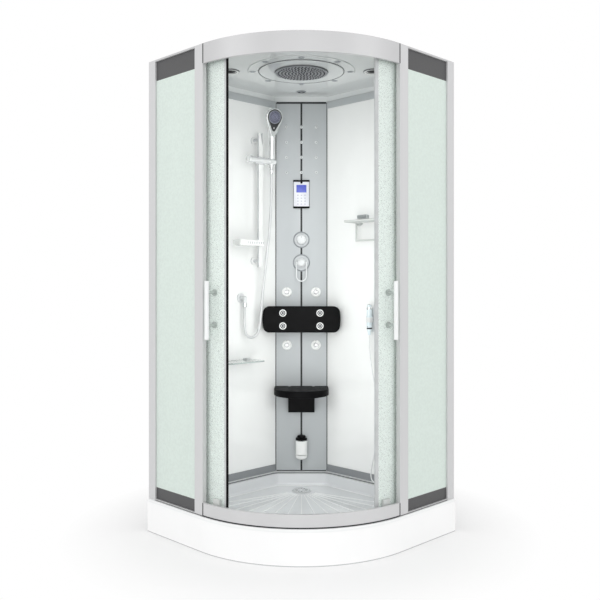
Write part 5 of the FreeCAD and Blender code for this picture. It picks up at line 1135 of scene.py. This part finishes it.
def mixed(tree, share, first, second, out):
    """Mixes two shaders into the surface of the node named out."""
    mix = tree.nodes.new("ShaderNodeMixShader")
    tree.links.new(share, mix.inputs["Fac"])
    tree.links.new(first, mix.inputs[1])
    tree.links.new(second, mix.inputs[2])
    tree.links.new(mix.outputs["Shader"], tree.nodes[out].inputs["Surface"])


def white_share(tree):
    """Share of plain white by the distance from the middle of the floor, for seen rays only."""
    coordinates = tree.nodes.new("ShaderNodeTexCoord")
    reach = tree.nodes.new("ShaderNodeVectorMath")
    reach.operation = "LENGTH"
    tree.links.new(coordinates.outputs["Object"], reach.inputs[0])
    fade = tree.nodes.new("ShaderNodeMapRange")
    fade.inputs["From Min"].default_value = FADE[0]
    fade.inputs["From Max"].default_value = FADE[1]
    fade.inputs["To Min"].default_value = WHITE_NEAR
    tree.links.new(reach.outputs["Value"], fade.inputs["Value"])
    return maths(tree, "MULTIPLY", fade.outputs["Result"], seen_ray(tree))


def stage():
    mesh = bpy.data.meshes.new("floor")
    corners = [(-1, -1), (1, -1), (1, 1), (-1, 1)]
    mesh.from_pydata([(x * FLOOR_HALF, y * FLOOR_HALF, 0) for x, y in corners], [], [(0, 1, 2, 3)])
    floor = new_object("floor", mesh)
    material = bpy.data.materials.new("floor")
    material.use_nodes = True
    tree = material.node_tree
    shader = tree.nodes["Principled BSDF"]
    shader.inputs["Base Color"].default_value = FLOOR_COLOUR
    shader.inputs["Roughness"].default_value = 0.8
    glow = tree.nodes.new("ShaderNodeEmission")
    glow.inputs["Strength"].default_value = 1.0
    mixed(tree, white_share(tree), shader.outputs["BSDF"], glow.outputs["Emission"], "Material Output")
    mesh.materials.append(material)


def world(strength):
    made = bpy.data.worlds.new("studio")
    bpy.context.scene.world = made
    made.use_nodes = True
    tree = made.node_tree
    light = tree.nodes["Background"]
    white = tree.nodes.new("ShaderNodeBackground")
    for background, level in ((light, strength), (white, 1.0)):
        background.inputs["Color"].default_value = (1, 1, 1, 1)
        background.inputs["Strength"].default_value = level
    mixed(tree, seen_ray(tree), light.outputs["Background"], white.outputs["Background"], "World Output")


def softbox(name, place, aim, width, height, power):
    light = bpy.data.lights.new(name, "AREA")
    light.shape = "RECTANGLE"
    light.size = width
    light.size_y = height
    light.energy = power
    holder = new_object(name, light)
    holder.location = place
    holder.rotation_euler = (Vector(aim) - Vector(place)).to_track_quat("-Z", "Y").to_euler()


def eye_level_camera():
    optics = bpy.data.cameras.new("camera")
    camera = new_object("camera", optics)
    bpy.context.scene.camera = camera
    camera.location = (0.0, BACK_Y * MM - CAMERA_DISTANCE, CAMERA_HEIGHT)
    camera.rotation_euler = (math.radians(90), 0, 0)
    optics.sensor_width = SENSOR
    optics.lens = FOCAL / PICTURE * SENSOR
    optics.shift_x = SHIFT[0] / PICTURE
    optics.shift_y = SHIFT[1] / PICTURE


stage()
world(AMBIENT)
softbox("front", (0.0, -4.6, 1.9), (0, 0.1, 1.05), 3.4, 2.6, 34)
softbox("left", (-3.4, -2.4, 2.6), (0, 0, 1.1), 2.0, 2.4, 24)
softbox("right", (3.4, -2.4, 2.6), (0, 0, 1.1), 2.0, 2.4, 21)
softbox("inside", (0.0, -0.22, 1.08), (0, 0.5, 1.08), 0.5, 1.7, 3.95)
eye_level_camera()
bpy.context.scene.view_settings.view_transform = "Standard"
